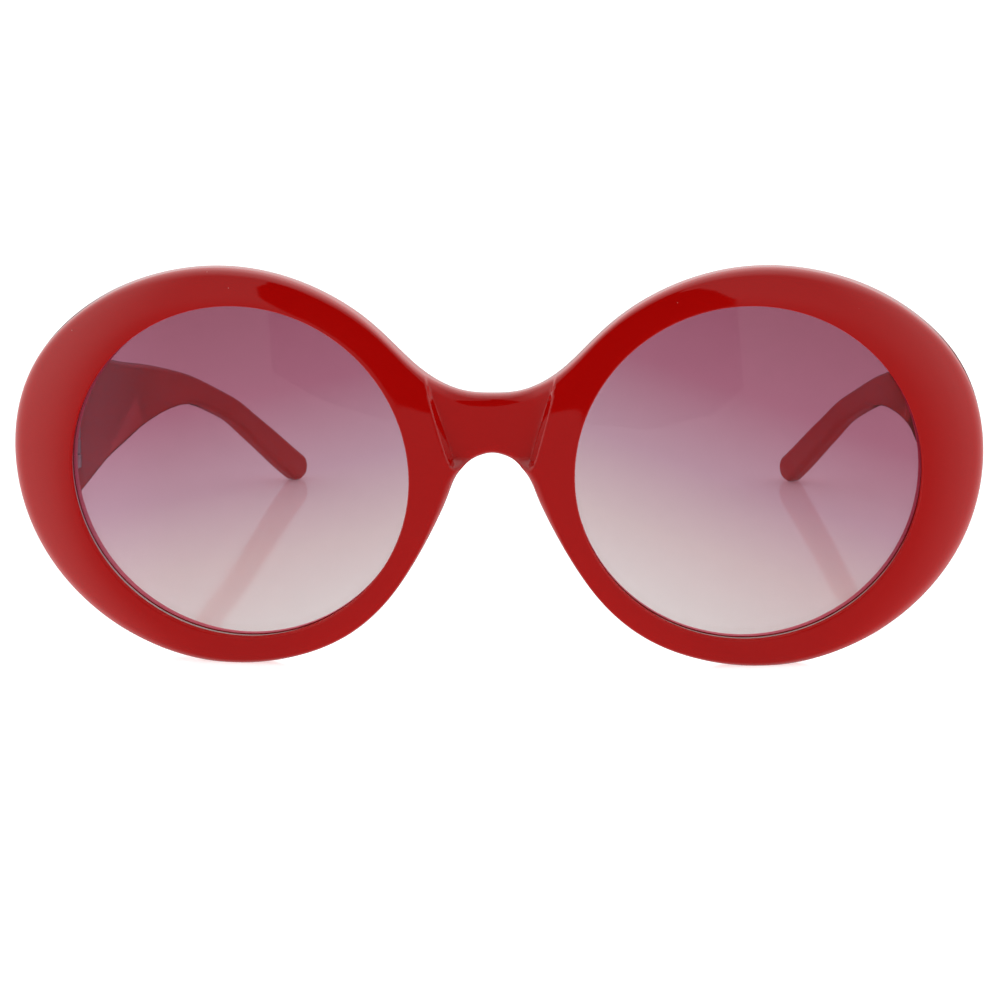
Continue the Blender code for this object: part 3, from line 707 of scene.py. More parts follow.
@dataclass
class Front:
    """The one-piece front: two domed rims, the recessed bridge and the lugs that carry the hinges."""

    opening_radius: float = 0.02595
    bridge_width: float = 0.0252
    rim_width: float = 0.0092
    rim_depth: float = 0.0045
    dome_radius: float = 0.132
    face_angle: float = math.radians(5)
    lean_angle: float = math.radians(4)
    edge_drop: float = 0.0017
    roll_power: float = 3.0
    # The rims' crown is less by crown_loss nearer the middle, and the nose flank is lifted towards its edge
    crown: float = 0.0003
    crown_loss: float = 0.35
    crown_reach: tuple = (0.040, 0.056)
    flank_lift: float = 0.0004
    flank_width: float = 0.0058
    flank_reach: tuple = (0.013, 0.030)
    flank_limit: float = 1.3
    inner_bevel: float = 0.00025
    # The back's edge is rounded more above, up to back_more_end from the middle
    back_roll: float = 0.0012
    back_roll_more: float = 0.0007
    back_more_rise: tuple = (0.0, 0.012)
    back_more_end: tuple = (0.045, 0.058)
    back_bevel: float = 0.0005
    back_lip: float = 0.0003
    foot_cut: float = 0.00015
    bridge_rise: float = 0.0122
    bridge_height: float = 0.0091
    nose_half_width: float = 0.0066
    # The hollow of the bridge: how far its floor is set in, its radius, half widths and sloped wall
    facet_set: float = 0.0027
    facet_hollow: float = 0.032
    facet_top_half: float = 0.0092
    facet_foot_half: float = 0.0050
    facet_wall_top: float = 0.0034
    facet_wall_foot: float = 0.0015
    facet_open_depth: float = 0.0039
    facet_overrun: float = 0.002
    facet_edge: float = 0.00004
    facet_corner: float = 0.00003
    facet_fade: tuple = (0.0010, 0.0028)
    spoke_fade: float = 0.006
    bridge_back_round: float = 0.004
    lens_radius: float = 0.23
    lens_set: float = 0.0012
    lens_thickness: float = 0.0019
    lens_hold: float = 0.00035
    lens_clearance: float = 0.00005
    hinge_depth: float = 0.019
    lug_root_depth: float = 0.00685
    butt_clearance: float = 0.0003
    # How finely the outline, the rings and the spokes are sampled
    fine_step: float = 0.00015
    coarse_step: float = 0.00052
    fine_reach: tuple = (0.011, 0.017)
    cad_stations: int = 70
    rough_samples: int = 840
    fine_samples: int = 2800
    plane_stations: int = 36
    roll_rings: int = 20
    roll_gather: float = 1.5
    rim_rings: int = 37
    rim_gather: float = 0.09
    lip_rings: int = 7
    back_lip_rings: int = 4
    back_rings: int = 7
    back_roll_rings: int = 6
    spoke_samples: int = 300
    # Where the foot and top of the bridge's wall may lie along a spoke, the top from the foot on
    foot_share_limits: tuple = (0.04, 0.85)
    top_share_limits: tuple = (0.03, 0.95)
    evening_reach: int = 40
    # Opening walls: dark red before the lens, lighter pinker red behind it; both glows and the lighter red
    # behind are painted light
    front_wall: GlowPaintedWall = GlowPaintedWall("front_wall", (0.33, 0.002, 0.001), (0.35, 0.003, 0.002), 0.25)
    back_wall: GlowPaintedWall = GlowPaintedWall("back_wall", (0.56, 0.08, 0.13), (0.62, 0.10, 0.16), 0.6)
    # Angle in degrees round a lens, from its nose side on over the bottom, and the share of rim_width there
    rim_width_shares: tuple = (
        (192, 0.555), (200, 0.465), (210, 0.417), (222, 0.425), (240, 0.465), (260, 0.482), (280, 0.55),
        (300, 0.64), (320, 0.76), (340, 0.885), (360, 0.97), (378, 1.0), (390, 0.957), (401, 0.868),
        (412, 0.775), (425, 0.682), (440, 0.61), (460, 0.549), (480, 0.532), (490, 0.545), (500, 0.572),
    )
    # Distance from the middle, and the rolled edge's share of the rim's width there
    roll_shares: tuple = (
        (0.0, 0.40), (0.006, 0.36), (0.0105, 0.14), (0.016, 0.12), (0.0225, 0.17), (0.030, 0.23),
        (0.0385, 0.30), (0.055, 0.38),
    )
    bridge_top_shares: tuple = ((0.437, 0.171), (0.29, 0.067), (0.145, 0.012), (0.0, 0.0))
    nose_arch_shares: tuple = (
        (0.0, 0.0), (0.32, -0.07), (0.55, -0.18), (0.735, -0.35), (0.895, -0.62), (1.0, -0.895),
    )

    def __post_init__(self) -> None:
        """Works out the lens centre and where the front stands."""
        self.lens_x = self.opening_radius + self.bridge_width / 2
        axis = next(joint["pos_m"] for joint in frame["joints"] if joint["child"] == Body.TEMPLE_LEFT.value)
        self.back_shift = axis[1] - self.hinge_depth
        self.rise = self._rise()

    def _rise(self) -> float:
        """How far up the front's plane the lens centres lie, with foot_cut of each rim below the floor."""
        points, _ = self.outline(self.cad_stations)
        edges = [np.column_stack([points, self.dome(points) - drop])
                 for drop in (self.edge_drop, self.rim_depth - self.back_roll)]
        lowest = self.lean(np.concatenate(edges))[:, 2].min()
        return -(lowest + self.foot_cut) / math.cos(self.lean_angle)

    def outline(self, stations: int | None = None) -> tuple[np.ndarray, np.ndarray]:
        """The outer outline of the +X half, from the nose arch round the rim to the middle of the bridge.

        The knots are the arch, the rim at polar radius opening_radius + rim_width share, and the bridge's
        top, joined by a spline over their chord lengths.

        Args:
            stations: evenly spaced points, or None for a spacing that is fine at the bridge.

        Returns:
            Points and inward normals, one row each, in (x, s).
        """
        arch_rise = self.bridge_rise - self.bridge_height
        arch = np.array(self.nose_arch_shares) * self.nose_half_width + (0, arch_rise)
        degrees, shares = np.array(self.rim_width_shares).T
        radius, angle = self.opening_radius + self.rim_width * shares, np.radians(degrees)
        rim = np.column_stack([self.lens_x + radius * np.cos(angle), radius * np.sin(angle)])
        top = np.array(self.bridge_top_shares) * self.bridge_width + (0, self.bridge_rise)
        knots = np.concatenate([arch, rim, top])
        along = running_length(knots)
        ends = np.array([[1.0, 0.0], [-1.0, 0.0]])
        samples = self.fine_samples if stations is None else self.rough_samples
        curve = spline(along, knots, np.linspace(0, along[-1], samples), ends)
        length = running_length(curve)
        if stations is None:
            coarse = smooth_step(curve[:, 0], *self.fine_reach)
            step = self.fine_step + (self.coarse_step - self.fine_step) * coarse
            count = np.concatenate([[0], np.cumsum(np.diff(length) / step[1:])])
            places = np.interp(np.linspace(0, count[-1], int(count[-1]) + 1), count, length)
        else:
            places = np.linspace(0, length[-1], stations)
        points = np.stack([np.interp(places, length, curve[:, i]) for i in range(2)], axis=1)
        tangents = np.gradient(points, places, axis=0)
        tangents[[0, -1]] = (1, 0), (-1, 0)
        tangents = unit(tangents)
        points[[0, -1], 0] = 0
        return points, np.stack([-tangents[:, 1], tangents[:, 0]], axis=1)

    def dome(self, ring: np.ndarray, softened: float = 0.0) -> np.ndarray:
        """The height of the rim's sphere over (x, s): w = c + sqrt(R^2 - (x - a)^2 - s^2).

        With softened, x is first replaced by sqrt(x^2 + softened^2), which rounds the fold in the middle.
        """
        x = np.sqrt(ring[..., 0] ** 2 + softened ** 2)
        centre_x = self.lens_x - self.dome_radius * math.sin(self.face_angle)
        centre_w = -self.dome_radius * math.cos(self.face_angle)
        return centre_w + np.sqrt(self.dome_radius ** 2 - (x - centre_x) ** 2 - ring[..., 1] ** 2)

    def round_the_lens(
        self, radius: float | np.ndarray, angles: np.ndarray, height: float | np.ndarray,
    ) -> np.ndarray:
        """Points at a radius and angles about the lens's axis, at a height along it, as (x, s, w)."""
        across = radius * np.cos(angles)
        up = np.broadcast_to(radius * np.sin(angles), np.broadcast_shapes(np.shape(across), np.shape(height)))
        return np.stack(np.broadcast_arrays(
            self.lens_x + across * math.cos(self.face_angle) + height * math.sin(self.face_angle),
            up,
            height * math.cos(self.face_angle) - across * math.sin(self.face_angle),
        ), axis=-1)

    def rim_point(self, radius: float | np.ndarray, angles: np.ndarray, depth: float) -> np.ndarray:
        """Points round the lens, depth behind the rim's sphere."""
        height = np.sqrt(self.dome_radius ** 2 - np.square(radius)) - self.dome_radius - depth
        return self.round_the_lens(radius, angles, height)

    def lean(self, points: np.ndarray) -> np.ndarray:
        """Turns (x, s, w) to world directions, leaning forwards by lean_angle."""
        x, s, w = np.moveaxis(np.asarray(points, float), -1, 0)
        cos, sin = math.cos(self.lean_angle), math.sin(self.lean_angle)
        return np.stack([x, -w * cos - s * sin, s * cos - w * sin], axis=-1)

    def stand(self, points: np.ndarray, side: int = 1) -> np.ndarray:
        """Places (x, s, w) in the world, for the +X or -X half."""
        world = self.lean(np.asarray(points, float) + (0, self.rise, 0)) + (0, self.back_shift, 0)
        return world * (side, 1, 1)

    def facet_edges(self, s: np.ndarray) -> tuple[np.ndarray, np.ndarray]:
        """Half the width of the bridge's hollow, and the width of its sloped wall, at heights s."""
        up = s / (self.bridge_rise + self.facet_overrun)
        half = self.facet_foot_half + (self.facet_top_half - self.facet_foot_half) * up
        wall = self.facet_wall_foot + (self.facet_wall_top - self.facet_wall_foot) * up
        return half, np.maximum(wall, self.facet_wall_foot)

    def front_height(self, ring: np.ndarray, crown: np.ndarray) -> np.ndarray:
        """The height of the front face before its edge is rolled: the crowned dome, cut to the hollow.

        The hollow is w = x^2 / (2 facet_hollow) - facet_set and rises in a wall of constant slope outside its
        edges, and the lower of dome and wall counts, with both creases rounded. Its foot fades into the dome.
        """
        half, wall = self.facet_edges(ring[..., 1])
        rise = (np.abs(ring[..., 0]) - half) * self.facet_open_depth / wall
        sloped = -soft_min(np.zeros_like(rise), -rise, self.facet_corner) - self.facet_set
        sloped = sloped + ring[..., 0] ** 2 / (2 * self.facet_hollow)
        full = self.dome(ring) + crown + self.lifted_flank(ring)
        merged = 1 - smooth_step(ring[..., 1], *self.facet_fade)
        sloped = sloped + merged * np.maximum(full - sloped, 0)
        cut = soft_min(full, sloped, self.facet_edge)
        return np.where(np.abs(ring[..., 0]) < half / 2, sloped, cut)

    def lifted_flank(self, ring: np.ndarray) -> np.ndarray:
        """How far a rim's nose side rises from the dome: by the square of the way to its outer edge."""
        away = (np.hypot(ring[..., 0] - self.lens_x, ring[..., 1]) - self.opening_radius) / self.flank_width
        fading = 1 - smooth_step(np.abs(ring[..., 0]), *self.flank_reach)
        return self.flank_lift * fading * np.clip(away, 0, self.flank_limit) ** 2

    def with_bridge_plane(self, ring: np.ndarray) -> np.ndarray:
        """Closes a ring of the half front with points on the plane x = 0."""
        steps = np.linspace(0, 1, self.plane_stations + 2)[1:-1, None]
        return np.concatenate([ring, ring[-1] + (ring[0] - ring[-1]) * steps])

    def spoke_shares(self, start: np.ndarray, end: np.ndarray) -> np.ndarray:
        """Where the rings cross each spoke from the rolled edge to the opening, as rings x spokes.

        The rings gather at two knots of a spoke, where it crosses the foot and the top of the bridge's wall.
        Both are found along fine samples of it. Spokes that start outside the wall go over to even knots.
        """
        share = np.linspace(0, 1, self.spoke_samples)
        line = start + (end - start) * share[:, None, None]
        half, wall = self.facet_edges(line[..., 1])
        hollow = line[..., 0] ** 2 / (2 * self.facet_hollow) - self.facet_set
        deep = (self.dome(line) + self.lifted_flank(line) - hollow) / self.facet_open_depth
        foot = share[np.argmax(line[..., 0] > half, axis=0)]
        top = share[np.argmax(line[..., 0] > half + wall * np.maximum(deep, 0), axis=0)]
        away = smooth_step(line[0, :, 0] - half[0] - wall[0] * np.maximum(deep[0], 0), 0, self.spoke_fade)
        least, most = self.top_share_limits
        foot = np.clip(foot, *self.foot_share_limits) * (1 - away) + away / 3
        top = np.clip(top, foot + least, most) * (1 - away) + away * 2 / 3
        knots = np.stack([np.zeros_like(foot), foot, top, np.ones_like(foot)])
        part = np.linspace(0, 3, self.rim_rings)
        cell = np.minimum(part.astype(int), 2)
        inside = part - cell
        eased = (inside - self.rim_gather * np.sin(2 * math.pi * inside))[:, None]
        return knots[cell] * (1 - eased) + knots[cell + 1] * eased

    def half_rings(self) -> np.ndarray:
        """The rings of the +X half, from its outer edge over the front, the lens groove and the back.

        The outer edge is rolled along a superellipse, inset 1 - cos^k a and dropped 1 - sin^k a, with
        k = 2 / power.
        """
        points, normals = self.outline()
        width = np.linalg.norm(points - (self.lens_x, 0), axis=1) - self.opening_radius
        out = smooth_step(points[:, 0], 0, self.bridge_width)
        cap = self.bridge_height / 2 + (self.rim_width - self.bridge_height / 2) * out
        roll = (np.interp(points[:, 0], *np.array(self.roll_shares).T) * np.minimum(width, cap))[:, None]
        upper = smooth_step(points[:, 1], *self.back_more_rise)
        upper *= 1 - smooth_step(points[:, 0], *self.back_more_end)
        back_roll = (self.back_roll + self.back_roll_more * upper)[:, None]
        middle_drop = np.linspace(back_roll[-1, 0], back_roll[0, 0], self.plane_stations)
        back_drop = np.concatenate([back_roll[:, 0], middle_drop])

        def inset(distance: float | np.ndarray) -> np.ndarray:
            """The outline moved inwards."""
            return self.with_bridge_plane(points + normals * distance)

        edge, rolled = inset(0), inset(roll)
        angles = np.arctan2(rolled[:, 1], (rolled[:, 0] - self.lens_x) / math.cos(self.face_angle))
        angles = evened(angles, self.evening_reach)
        inner = self.rim_point(self.opening_radius + self.inner_bevel, angles, 0)
        reach = np.linalg.norm(rolled - edge, axis=1)
        span = np.linalg.norm(inner[:, :2] - rolled, axis=1)
        height = self.crown * (1 - self.crown_loss * (1 - smooth_step(edge[:, 0], *self.crown_reach)))

        def faced(ring: np.ndarray, distance: np.ndarray, drop: float) -> np.ndarray:
            """A ring on the front face, a distance from the edge, crowned by 4 h share (1 - share)."""
            share = distance / (reach + span)
            return np.column_stack([ring, self.front_height(ring, 4 * height * share * (1 - share)) - drop])

        def backed(ring: np.ndarray, depth: float | np.ndarray) -> np.ndarray:
            """A ring at a depth behind the dome."""
            return np.column_stack([ring, self.dome(ring, self.bridge_back_round) - depth])

        rings = [backed(edge, self.rim_depth - back_drop)]
        for turn in math.pi / 2 * np.linspace(0, 1, self.roll_rings) ** self.roll_gather:
            share = 1 - math.cos(turn) ** (2 / self.roll_power)
            drop = self.edge_drop * (1 - math.sin(turn) ** (2 / self.roll_power))
            rings.append(faced(inset(share * roll), share * reach, drop))
        for share in self.spoke_shares(rolled, inner[:, :2])[1:-1]:
            ring = rolled + (inner[:, :2] - rolled) * share[:, None]
            rings.append(faced(ring, reach + span * share, 0.0))
        rings += self.opening_rings(angles)
        inner_back, outer_back = rings[-1][:, :2], inset(back_roll)
        for share in np.linspace(0, 1, self.back_rings)[1:]:
            rings.append(backed(inner_back + (outer_back - inner_back) * share, self.rim_depth))
        for turn in np.linspace(0, math.pi / 2, self.back_roll_rings)[1:-1]:
            away = back_roll * (1 - math.sin(turn))
            rings.append(backed(inset(away), self.rim_depth - back_drop * (1 - math.cos(turn))))
        return np.array(rings)

    def opening_rings(self, angles: np.ndarray) -> list:
        """The rings of a lens opening: its rounded lip, the lens groove and the lip behind, also rounded.

        The back lip stands in by back_lip cos a on the outer side.
        """
        groove_front = self.lens_set - self.lens_clearance
        groove_back = self.lens_set + self.lens_thickness + self.lens_clearance
        groove_radius = self.opening_radius + self.lens_hold + self.lens_clearance
        lip_radius = self.opening_radius - self.back_lip * np.maximum(np.cos(angles), 0)
        places = []
        for turn in np.linspace(0, math.pi / 2, self.lip_rings):
            radius = self.opening_radius + self.inner_bevel * (1 - math.sin(turn))
            places.append((radius, self.inner_bevel * (1 - math.cos(turn))))
        places += [
            (self.opening_radius, groove_front), (groove_radius, groove_front), (groove_radius, groove_back),
            (self.opening_radius, groove_back),
        ]
        for turn in np.linspace(0, math.pi / 2, self.back_lip_rings):
            depth = self.rim_depth - self.back_bevel * (1 - math.sin(turn))
            places.append((lip_radius + self.back_bevel * (1 - math.cos(turn)), depth))
        return [self.rim_point(radius, angles, depth) for radius, depth in places]

    def shell(self) -> bpy.types.Object:
        """Both halves of the front as one closed skin, cut flat where they stand on the floor."""
        rings = self.half_rings()
        flat = rings.reshape(-1, 3)
        on_plane = np.abs(flat[:, 0]) < JOIN_DISTANCE
        flat[on_plane, 0] = 0
        quads = grid_faces(*rings.shape[:2], True, True)
        quads = quads[~on_plane[quads].all(axis=1)]
        halves = [self.stand(flat, side) for side in SIDES.values()]
        points = np.concatenate(halves)
        points[:, 2] = np.maximum(points[:, 2], 0)
        return mesh_object("front_shell", points, np.concatenate([quads, quads + len(flat)]).tolist())

    def build(self, plastic: bpy.types.Material, temple: "Temple", hinge: "Hinge") -> None:
        """Makes the front with its lugs and hinge seats."""
        shell = self.shell()
        for side in SIDES.values():
            lug = temple.lug(self, side)
            for cutter in hinge.seat(side, -1):
                combine(lug, cutter, Operation.CUT)
            combine(shell, lug, Operation.JOIN)
        # The walls' materials glow with painted light
        walls = self.front_wall.material(), self.back_wall.material()
        finish_piece(shell, Body.FRONT, "front_frame", "red_acetate", plastic, *walls)
        for side in SIDES.values():
            self.light_walls(shell, side)

    def light_walls(self, shell: bpy.types.Object, side: int) -> None:
        """Gives the walls of a lens opening, which are near its radius and face its axis, their materials
        with painted glow.
        """
        centre = self.stand(np.array([self.lens_x, 0.0, 0.0]), side)
        ahead = np.array([self.lens_x + math.sin(self.face_angle), 0.0, math.cos(self.face_angle)])
        axis = self.stand(ahead, side) - centre
        middles, normals = faces_of(shell)
        away = middles - centre
        depth = -(away @ axis)
        away += depth[:, None] * axis
        facing = -(unit(away) * normals).sum(axis=1)
        radius = np.linalg.norm(away, axis=1)
        wall = (radius < self.opening_radius + self.inner_bevel) & (facing > SQUARE_ON)
        rim_sink = self.opening_radius ** 2 / (2 * self.dome_radius)
        behind = depth > self.lens_set + self.lens_thickness / 2 + rim_sink
        paint(shell, wall & ~behind, 1)
        paint(shell, wall & behind, 2)


# The lenses and nose pads


@dataclass
class Lens:
    """A round lens, a little flatter than the rim that holds it."""

    front: Front
    rings: int = 40
    steps: int = 240
    middle_turn: float = 0.004
    edge_round: float = 0.00012
    edge_margin: float = 0.0001
    left_tilt: float = math.radians(21)
    right_tilt: float = math.radians(13)

    def skin(self, side: int) -> np.ndarray:
        """Rings of the lens from the middle of its back, round the edge, to the middle of its front.

        Each face is a sphere of radius R about the lens's axis, h = e + sqrt(R^2 - r^2) - sqrt(R^2 - edge^2),
        where e puts its edge lens_set, or that and the thickness, behind the rim's sphere.
        """
        front = self.front
        edge = front.opening_radius + front.lens_hold
        reach = (edge - self.edge_round) * np.sin(np.linspace(self.middle_turn, math.pi / 2, self.rings))
        angle = np.linspace(0, 2 * math.pi, self.steps, endpoint=False)

        def face(depth: float, sphere: float) -> np.ndarray:
            """The heights of a face whose edge lies at a depth."""
            rim = math.sqrt((front.dome_radius - depth) ** 2 - edge ** 2) - front.dome_radius
            return rim + np.sqrt(sphere ** 2 - reach ** 2) - math.sqrt(sphere ** 2 - edge ** 2)

        near = face(front.lens_set, front.lens_radius)
        far = face(front.lens_set + front.lens_thickness, front.lens_radius - front.lens_thickness)
        radii = np.concatenate([reach, [edge, edge], reach[::-1]])
        height = np.concatenate([far, [far[-1] + self.edge_round, near[-1] - self.edge_round], near[::-1]])
        return front.stand(front.round_the_lens(radii[:, None], angle[None, :], height[:, None]), side)

    def build(self) -> None:
        """Makes both lenses."""
        edge = GroundEdge().material()
        for word, side in SIDES.items():
            lens = loft(f"tinted_lens_{word}", self.skin(side))
            centre = self.front.stand(np.array([self.front.lens_x, 0.0, 0.0]), side)
            tilt = self.left_tilt if side > 0 else self.right_tilt
            tint = GradientTint(side, tuple(centre), self.front.opening_radius, tilt).material()
            finish_piece(lens, Body.FRONT, f"lens_{word}", "tinted_lens", tint, edge)
            self.grind(lens, centre)

    def grind(self, lens: bpy.types.Object, centre: np.ndarray) -> None:
        """Gives the faces far out that look away from the lens's centre, its edge, the second material."""
        middles, normals = faces_of(lens)
        away = middles - centre
        radial = np.abs((unit(away) * normals).sum(axis=1))
        far = np.linalg.norm(away, axis=1) > self.front.opening_radius - self.edge_margin
        paint(lens, far & (radial > SQUARE_ON), 1)


@dataclass
class NosePad:
    """A pad moulded on the back of the rim's nose side, swelling in the middle."""

    front: Front
    height: float = 0.0035
    width: float = 0.0032
    start_angle: float = math.radians(183)
    end_angle: float = math.radians(217)
    tip_share: float = 0.2
    tip_least_share: float = 0.05
    tip_steepness: float = 40.0
    sink: float = 0.00015
    stations: int = 48
    points: int = 32

    def skin(self, side: int) -> np.ndarray:
        """Rings along the pad: ellipses whose size follows sqrt(1 - t^2) from tip to tip."""
        front = self.front
        least = min(share for _, share in front.rim_width_shares)
        middle = front.opening_radius + front.rim_width * least / 2
        t = np.sin(np.linspace(-math.pi / 2, math.pi / 2, self.stations))
        swell = np.maximum(np.sqrt(np.maximum(1 - t ** 2, 0)), self.tip_share)[:, None]
        swell = swell * np.clip((1 - np.abs(t)) * self.tip_steepness, self.tip_least_share, 1)[:, None]
        angle = (self.start_angle + (self.end_angle - self.start_angle) * (t + 1) / 2)[:, None]
        turn = np.linspace(0, 2 * math.pi, self.points, endpoint=False)[None, :]
        radius = middle - self.width / 2 * swell * np.cos(turn)
        depth = front.rim_depth - self.sink + self.height * swell * (1 + np.sin(turn)) / 2
        height = np.sqrt(front.dome_radius ** 2 - radius ** 2) - front.dome_radius - depth
        return front.stand(front.round_the_lens(radius, np.broadcast_to(angle, radius.shape), height), side)

    def build(self, plastic: bpy.types.Material) -> None:
        """Makes both pads."""
        for word, side in SIDES.items():
            pad = loft(f"nose_pad_shaped_{word}", self.skin(side))
            finish_piece(pad, Body.FRONT, f"nose_pad_{word}", "red_acetate", plastic)


# The temples


@dataclass
class Temple:
    """A temple: deep at the root, tapering back, curling in and bent down behind the ear."""

    front: Front
    axis_inset: float = 0.0007
    root_height: float = 0.0204
    thickness: float = 0.0038
    length: float = 0.1154
    tip_radius: float = 0.0025
    tip_thickness_share: float = 0.35
    toe_in_slope: float = 0.035
    curl_radius: float = 0.096
    curl_start_share: float = 0.485
    corner_radius: float = 0.0011
    corner_limit_share: float = 0.45
    end_round: float = 0.00018
    end_rings: int = 4
    tip_rings: int = 14
    tip_least_share: float = 0.02
    tip_swell: float = 6.0
    side_shares: tuple = (0.03, 0.12, 0.5, 0.88, 0.97)
    wire_radius: float = 0.0006
    wire_clearance: float = 0.0003
    wire_root_drop: float = 0.0066
    wire_blend_share: float = 0.6
    wire_end_share: float = 0.945
    wire_points: int = 60
    wire_overrun: float = 0.002
    stations: int = 150
    corner_points: int = 9
    nudge_share: float = 0.001
    # A lighter copy of the red plastic, as painted light: it makes up for the shade on the temples' inner
    # faces
    plastic: PolishedPlastic = PolishedPlastic(
        "polished_red_temple", (0.54, 0.0020, 0.0012), (0.56, 0.0024, 0.0015), shine=0.15,
    )
    # Share of length, of the drop to the tip, of root_height and of thickness
    shares: tuple = (
        (0.0, 0.0, 1.0, 1.0), (0.14, 0.007, 0.93, 1.0), (0.27, 0.02, 0.835, 0.98),
        (0.33, 0.047, 0.765, 0.97), (0.44, 0.102, 0.64, 0.94), (0.555, 0.154, 0.51, 0.92),
        (0.63, 0.192, 0.4, 0.9), (0.69, 0.23, 0.31, 0.89), (0.745, 0.285, 0.24, 0.88),
        (0.785, 0.35, 0.215, 0.87), (0.825, 0.43, 0.209, 0.87), (0.865, 0.525, 0.21, 0.86),
        (0.9, 0.64, 0.22, 0.86), (0.935, 0.76, 0.233, 0.86), (0.97, 0.89, 0.243, 0.86),
        (1.0, 1.0, 0.245, 0.86),
    )

    def __post_init__(self) -> None:
        """Takes the hinge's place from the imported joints."""
        axis = next(joint["pos_m"] for joint in frame["joints"] if joint["child"] == Body.TEMPLE_LEFT.value)
        self.hinge = np.array(axis)
        self.inner_face = axis[0] + self.axis_inset

    def line(self, shares: np.ndarray) -> tuple[np.ndarray, ...]:
        """Centre, sideways, upward and forward directions, thickness and height at shares of the length.

        The inner face runs back with a slight toe-in and then curls in on x = -curled^2 / (2 curl_radius).
        """
        table = np.array(self.shares)

        def place(at: np.ndarray) -> tuple[np.ndarray, ...]:
            """Centre, sideways direction, thickness and height at shares of the length."""
            drop, height, thickness = spline(table[:, 0], table[:, 1:], at).T
            back = self.length * at
            curled = np.maximum(0, back - self.curl_start_share * self.length)
            inner = self.inner_face - self.toe_in_slope * back - curled ** 2 / (2 * self.curl_radius)
            slope = -self.toe_in_slope - curled / self.curl_radius
            run = np.sqrt(1 + slope ** 2)
            side = np.column_stack([1 / run, -slope / run, np.zeros(len(at))])
            half = self.thickness * thickness[:, None] / 2
            up = self.hinge[2] - (self.hinge[2] - self.tip_radius) * drop
            face = np.column_stack([inner, self.hinge[1] + back, up])
            return face + side * half, side, 2 * half[:, 0], self.root_height * height

        centre, side, thickness, height = place(shares)
        along = unit(place(shares + self.nudge_share)[0] - place(shares - self.nudge_share)[0])
        return centre, side, unit(np.cross(side, along)), along, thickness, height

    def rounded_rectangle(self, width: np.ndarray, height: np.ndarray) -> np.ndarray:
        """Outlines (across, up) of rectangles with round corners, as sections x points x 2.

        A point of a corner is the corner's centre plus radius (cos a, sin a). The straight sides get two
        points close to each end and one in the middle, so that the shading of the flats stays flat.
        """
        limit = self.corner_limit_share
        radius = np.minimum(self.corner_radius, np.minimum(limit * width, limit * height))
        rows = []
        for quarter in range(4):
            turn = math.radians(90 * quarter) + np.linspace(0, math.pi / 2, self.corner_points)
            cx = (width / 2 - radius) * (1 if quarter in (0, 3) else -1)
            cy = (height / 2 - radius) * (1 if quarter in (0, 1) else -1)
            rows.append(np.stack([
                cx[:, None] + radius[:, None] * np.cos(turn), cy[:, None] + radius[:, None] * np.sin(turn),
            ], axis=-1))
        sides, between = [], np.array(self.side_shares)[None, :, None]
        for quarter in range(4):
            start, end = rows[quarter][:, -1:], rows[(quarter + 1) % 4][:, :1]
            sides += [rows[quarter], start + (end - start) * between]
        return np.concatenate(sides, axis=1)

    def sections(self) -> np.ndarray:
        """The temple's cross sections from its butt end to the tip, which closes in a quarter circle."""
        even = np.linspace(0, 1, self.stations)
        centre, side, up, along, thickness, height = self.line(even)
        outline = self.rounded_rectangle(thickness, height)
        body = centre[:, None] + outline[..., :1] * side[:, None] + outline[..., 1:] * up[:, None]
        body[0, :, 1] = self.hinge[1] + self.front.butt_clearance / 2
        turn = np.linspace(0, math.pi / 2, self.tip_rings)[1:]
        narrow = np.maximum(np.cos(turn), self.tip_least_share)
        thin = self.tip_thickness_share + (1 - self.tip_thickness_share) * np.sqrt(narrow)
        thin = thickness[-1] * thin * np.minimum(1, narrow * self.tip_swell)
        outline = self.rounded_rectangle(thin, height[-1] * narrow)
        middle = centre[-1] + along[-1] * self.tip_radius * np.sin(turn)[:, None]
        tip = middle[:, None] + outline[..., :1] * side[-1] + outline[..., 1:] * up[-1]
        return np.concatenate([self.soft_end(body[0], 1), body[1:], tip])

    def soft_end(self, ring: np.ndarray, towards: int) -> np.ndarray:
        """The rings that round off a square-cut end, the first one on the end's face.

        Each is drawn in towards the middle by end_round (1 - sin a) and set back by end_round (1 - cos a).
        """
        middle = ring.mean(axis=0)
        inward = unit((middle - ring) * (1, 0, 1))
        turn = np.linspace(0, math.pi / 2, self.end_rings)
        rings = ring + inward * (self.end_round * (1 - np.sin(turn)))[:, None, None]
        rings[..., 1] += towards * self.end_round * (1 - np.cos(turn))[:, None]
        return rings

    def lug(self, front: Front, side: int) -> bpy.types.Object:
        """The lug on the front: the temple's root section, carried forwards into the rim."""
        back = self.sections()[self.end_rings - 1]
        back[:, 1] = self.hinge[1] - front.butt_clearance / 2
        start = back.copy()
        start[:, 1] = front.back_shift + front.lug_root_depth
        rings = np.concatenate([self.soft_end(back, -1), start[None]])
        return loft(f"lug_{side}", rings * (side, 1, 1))

    def wire_channel(self, side: int) -> bpy.types.Object:
        """The channel that the core wire lies in."""
        shares = np.linspace(0, self.wire_end_share, self.wire_points)
        centre, _, up, *_ = self.line(shares)
        lower = 1 - smooth_step(shares, 0, self.wire_blend_share)
        path = centre - up * (self.wire_root_drop * lower)[:, None]
        path = np.concatenate([path[:1] - (0, self.wire_overrun, 0), path])
        return tube(f"channel_{side}", path * (side, 1, 1), self.wire_radius + self.wire_clearance)

    def build(self, hinge: "Hinge") -> None:
        """Makes both temples, with the hinge's seat and the core wire's channel."""
        plastic = self.plastic.material()
        for word, side in SIDES.items():
            temple = loft(f"temple_shaped_{word}", self.sections() * (side, 1, 1))
            for cutter in (*hinge.seat(side, 1), self.wire_channel(side)):
                combine(temple, cutter, Operation.CUT)
            finish_piece(temple, Body.temple(word), f"temple_{word}", "red_acetate", plastic)


# The hinges


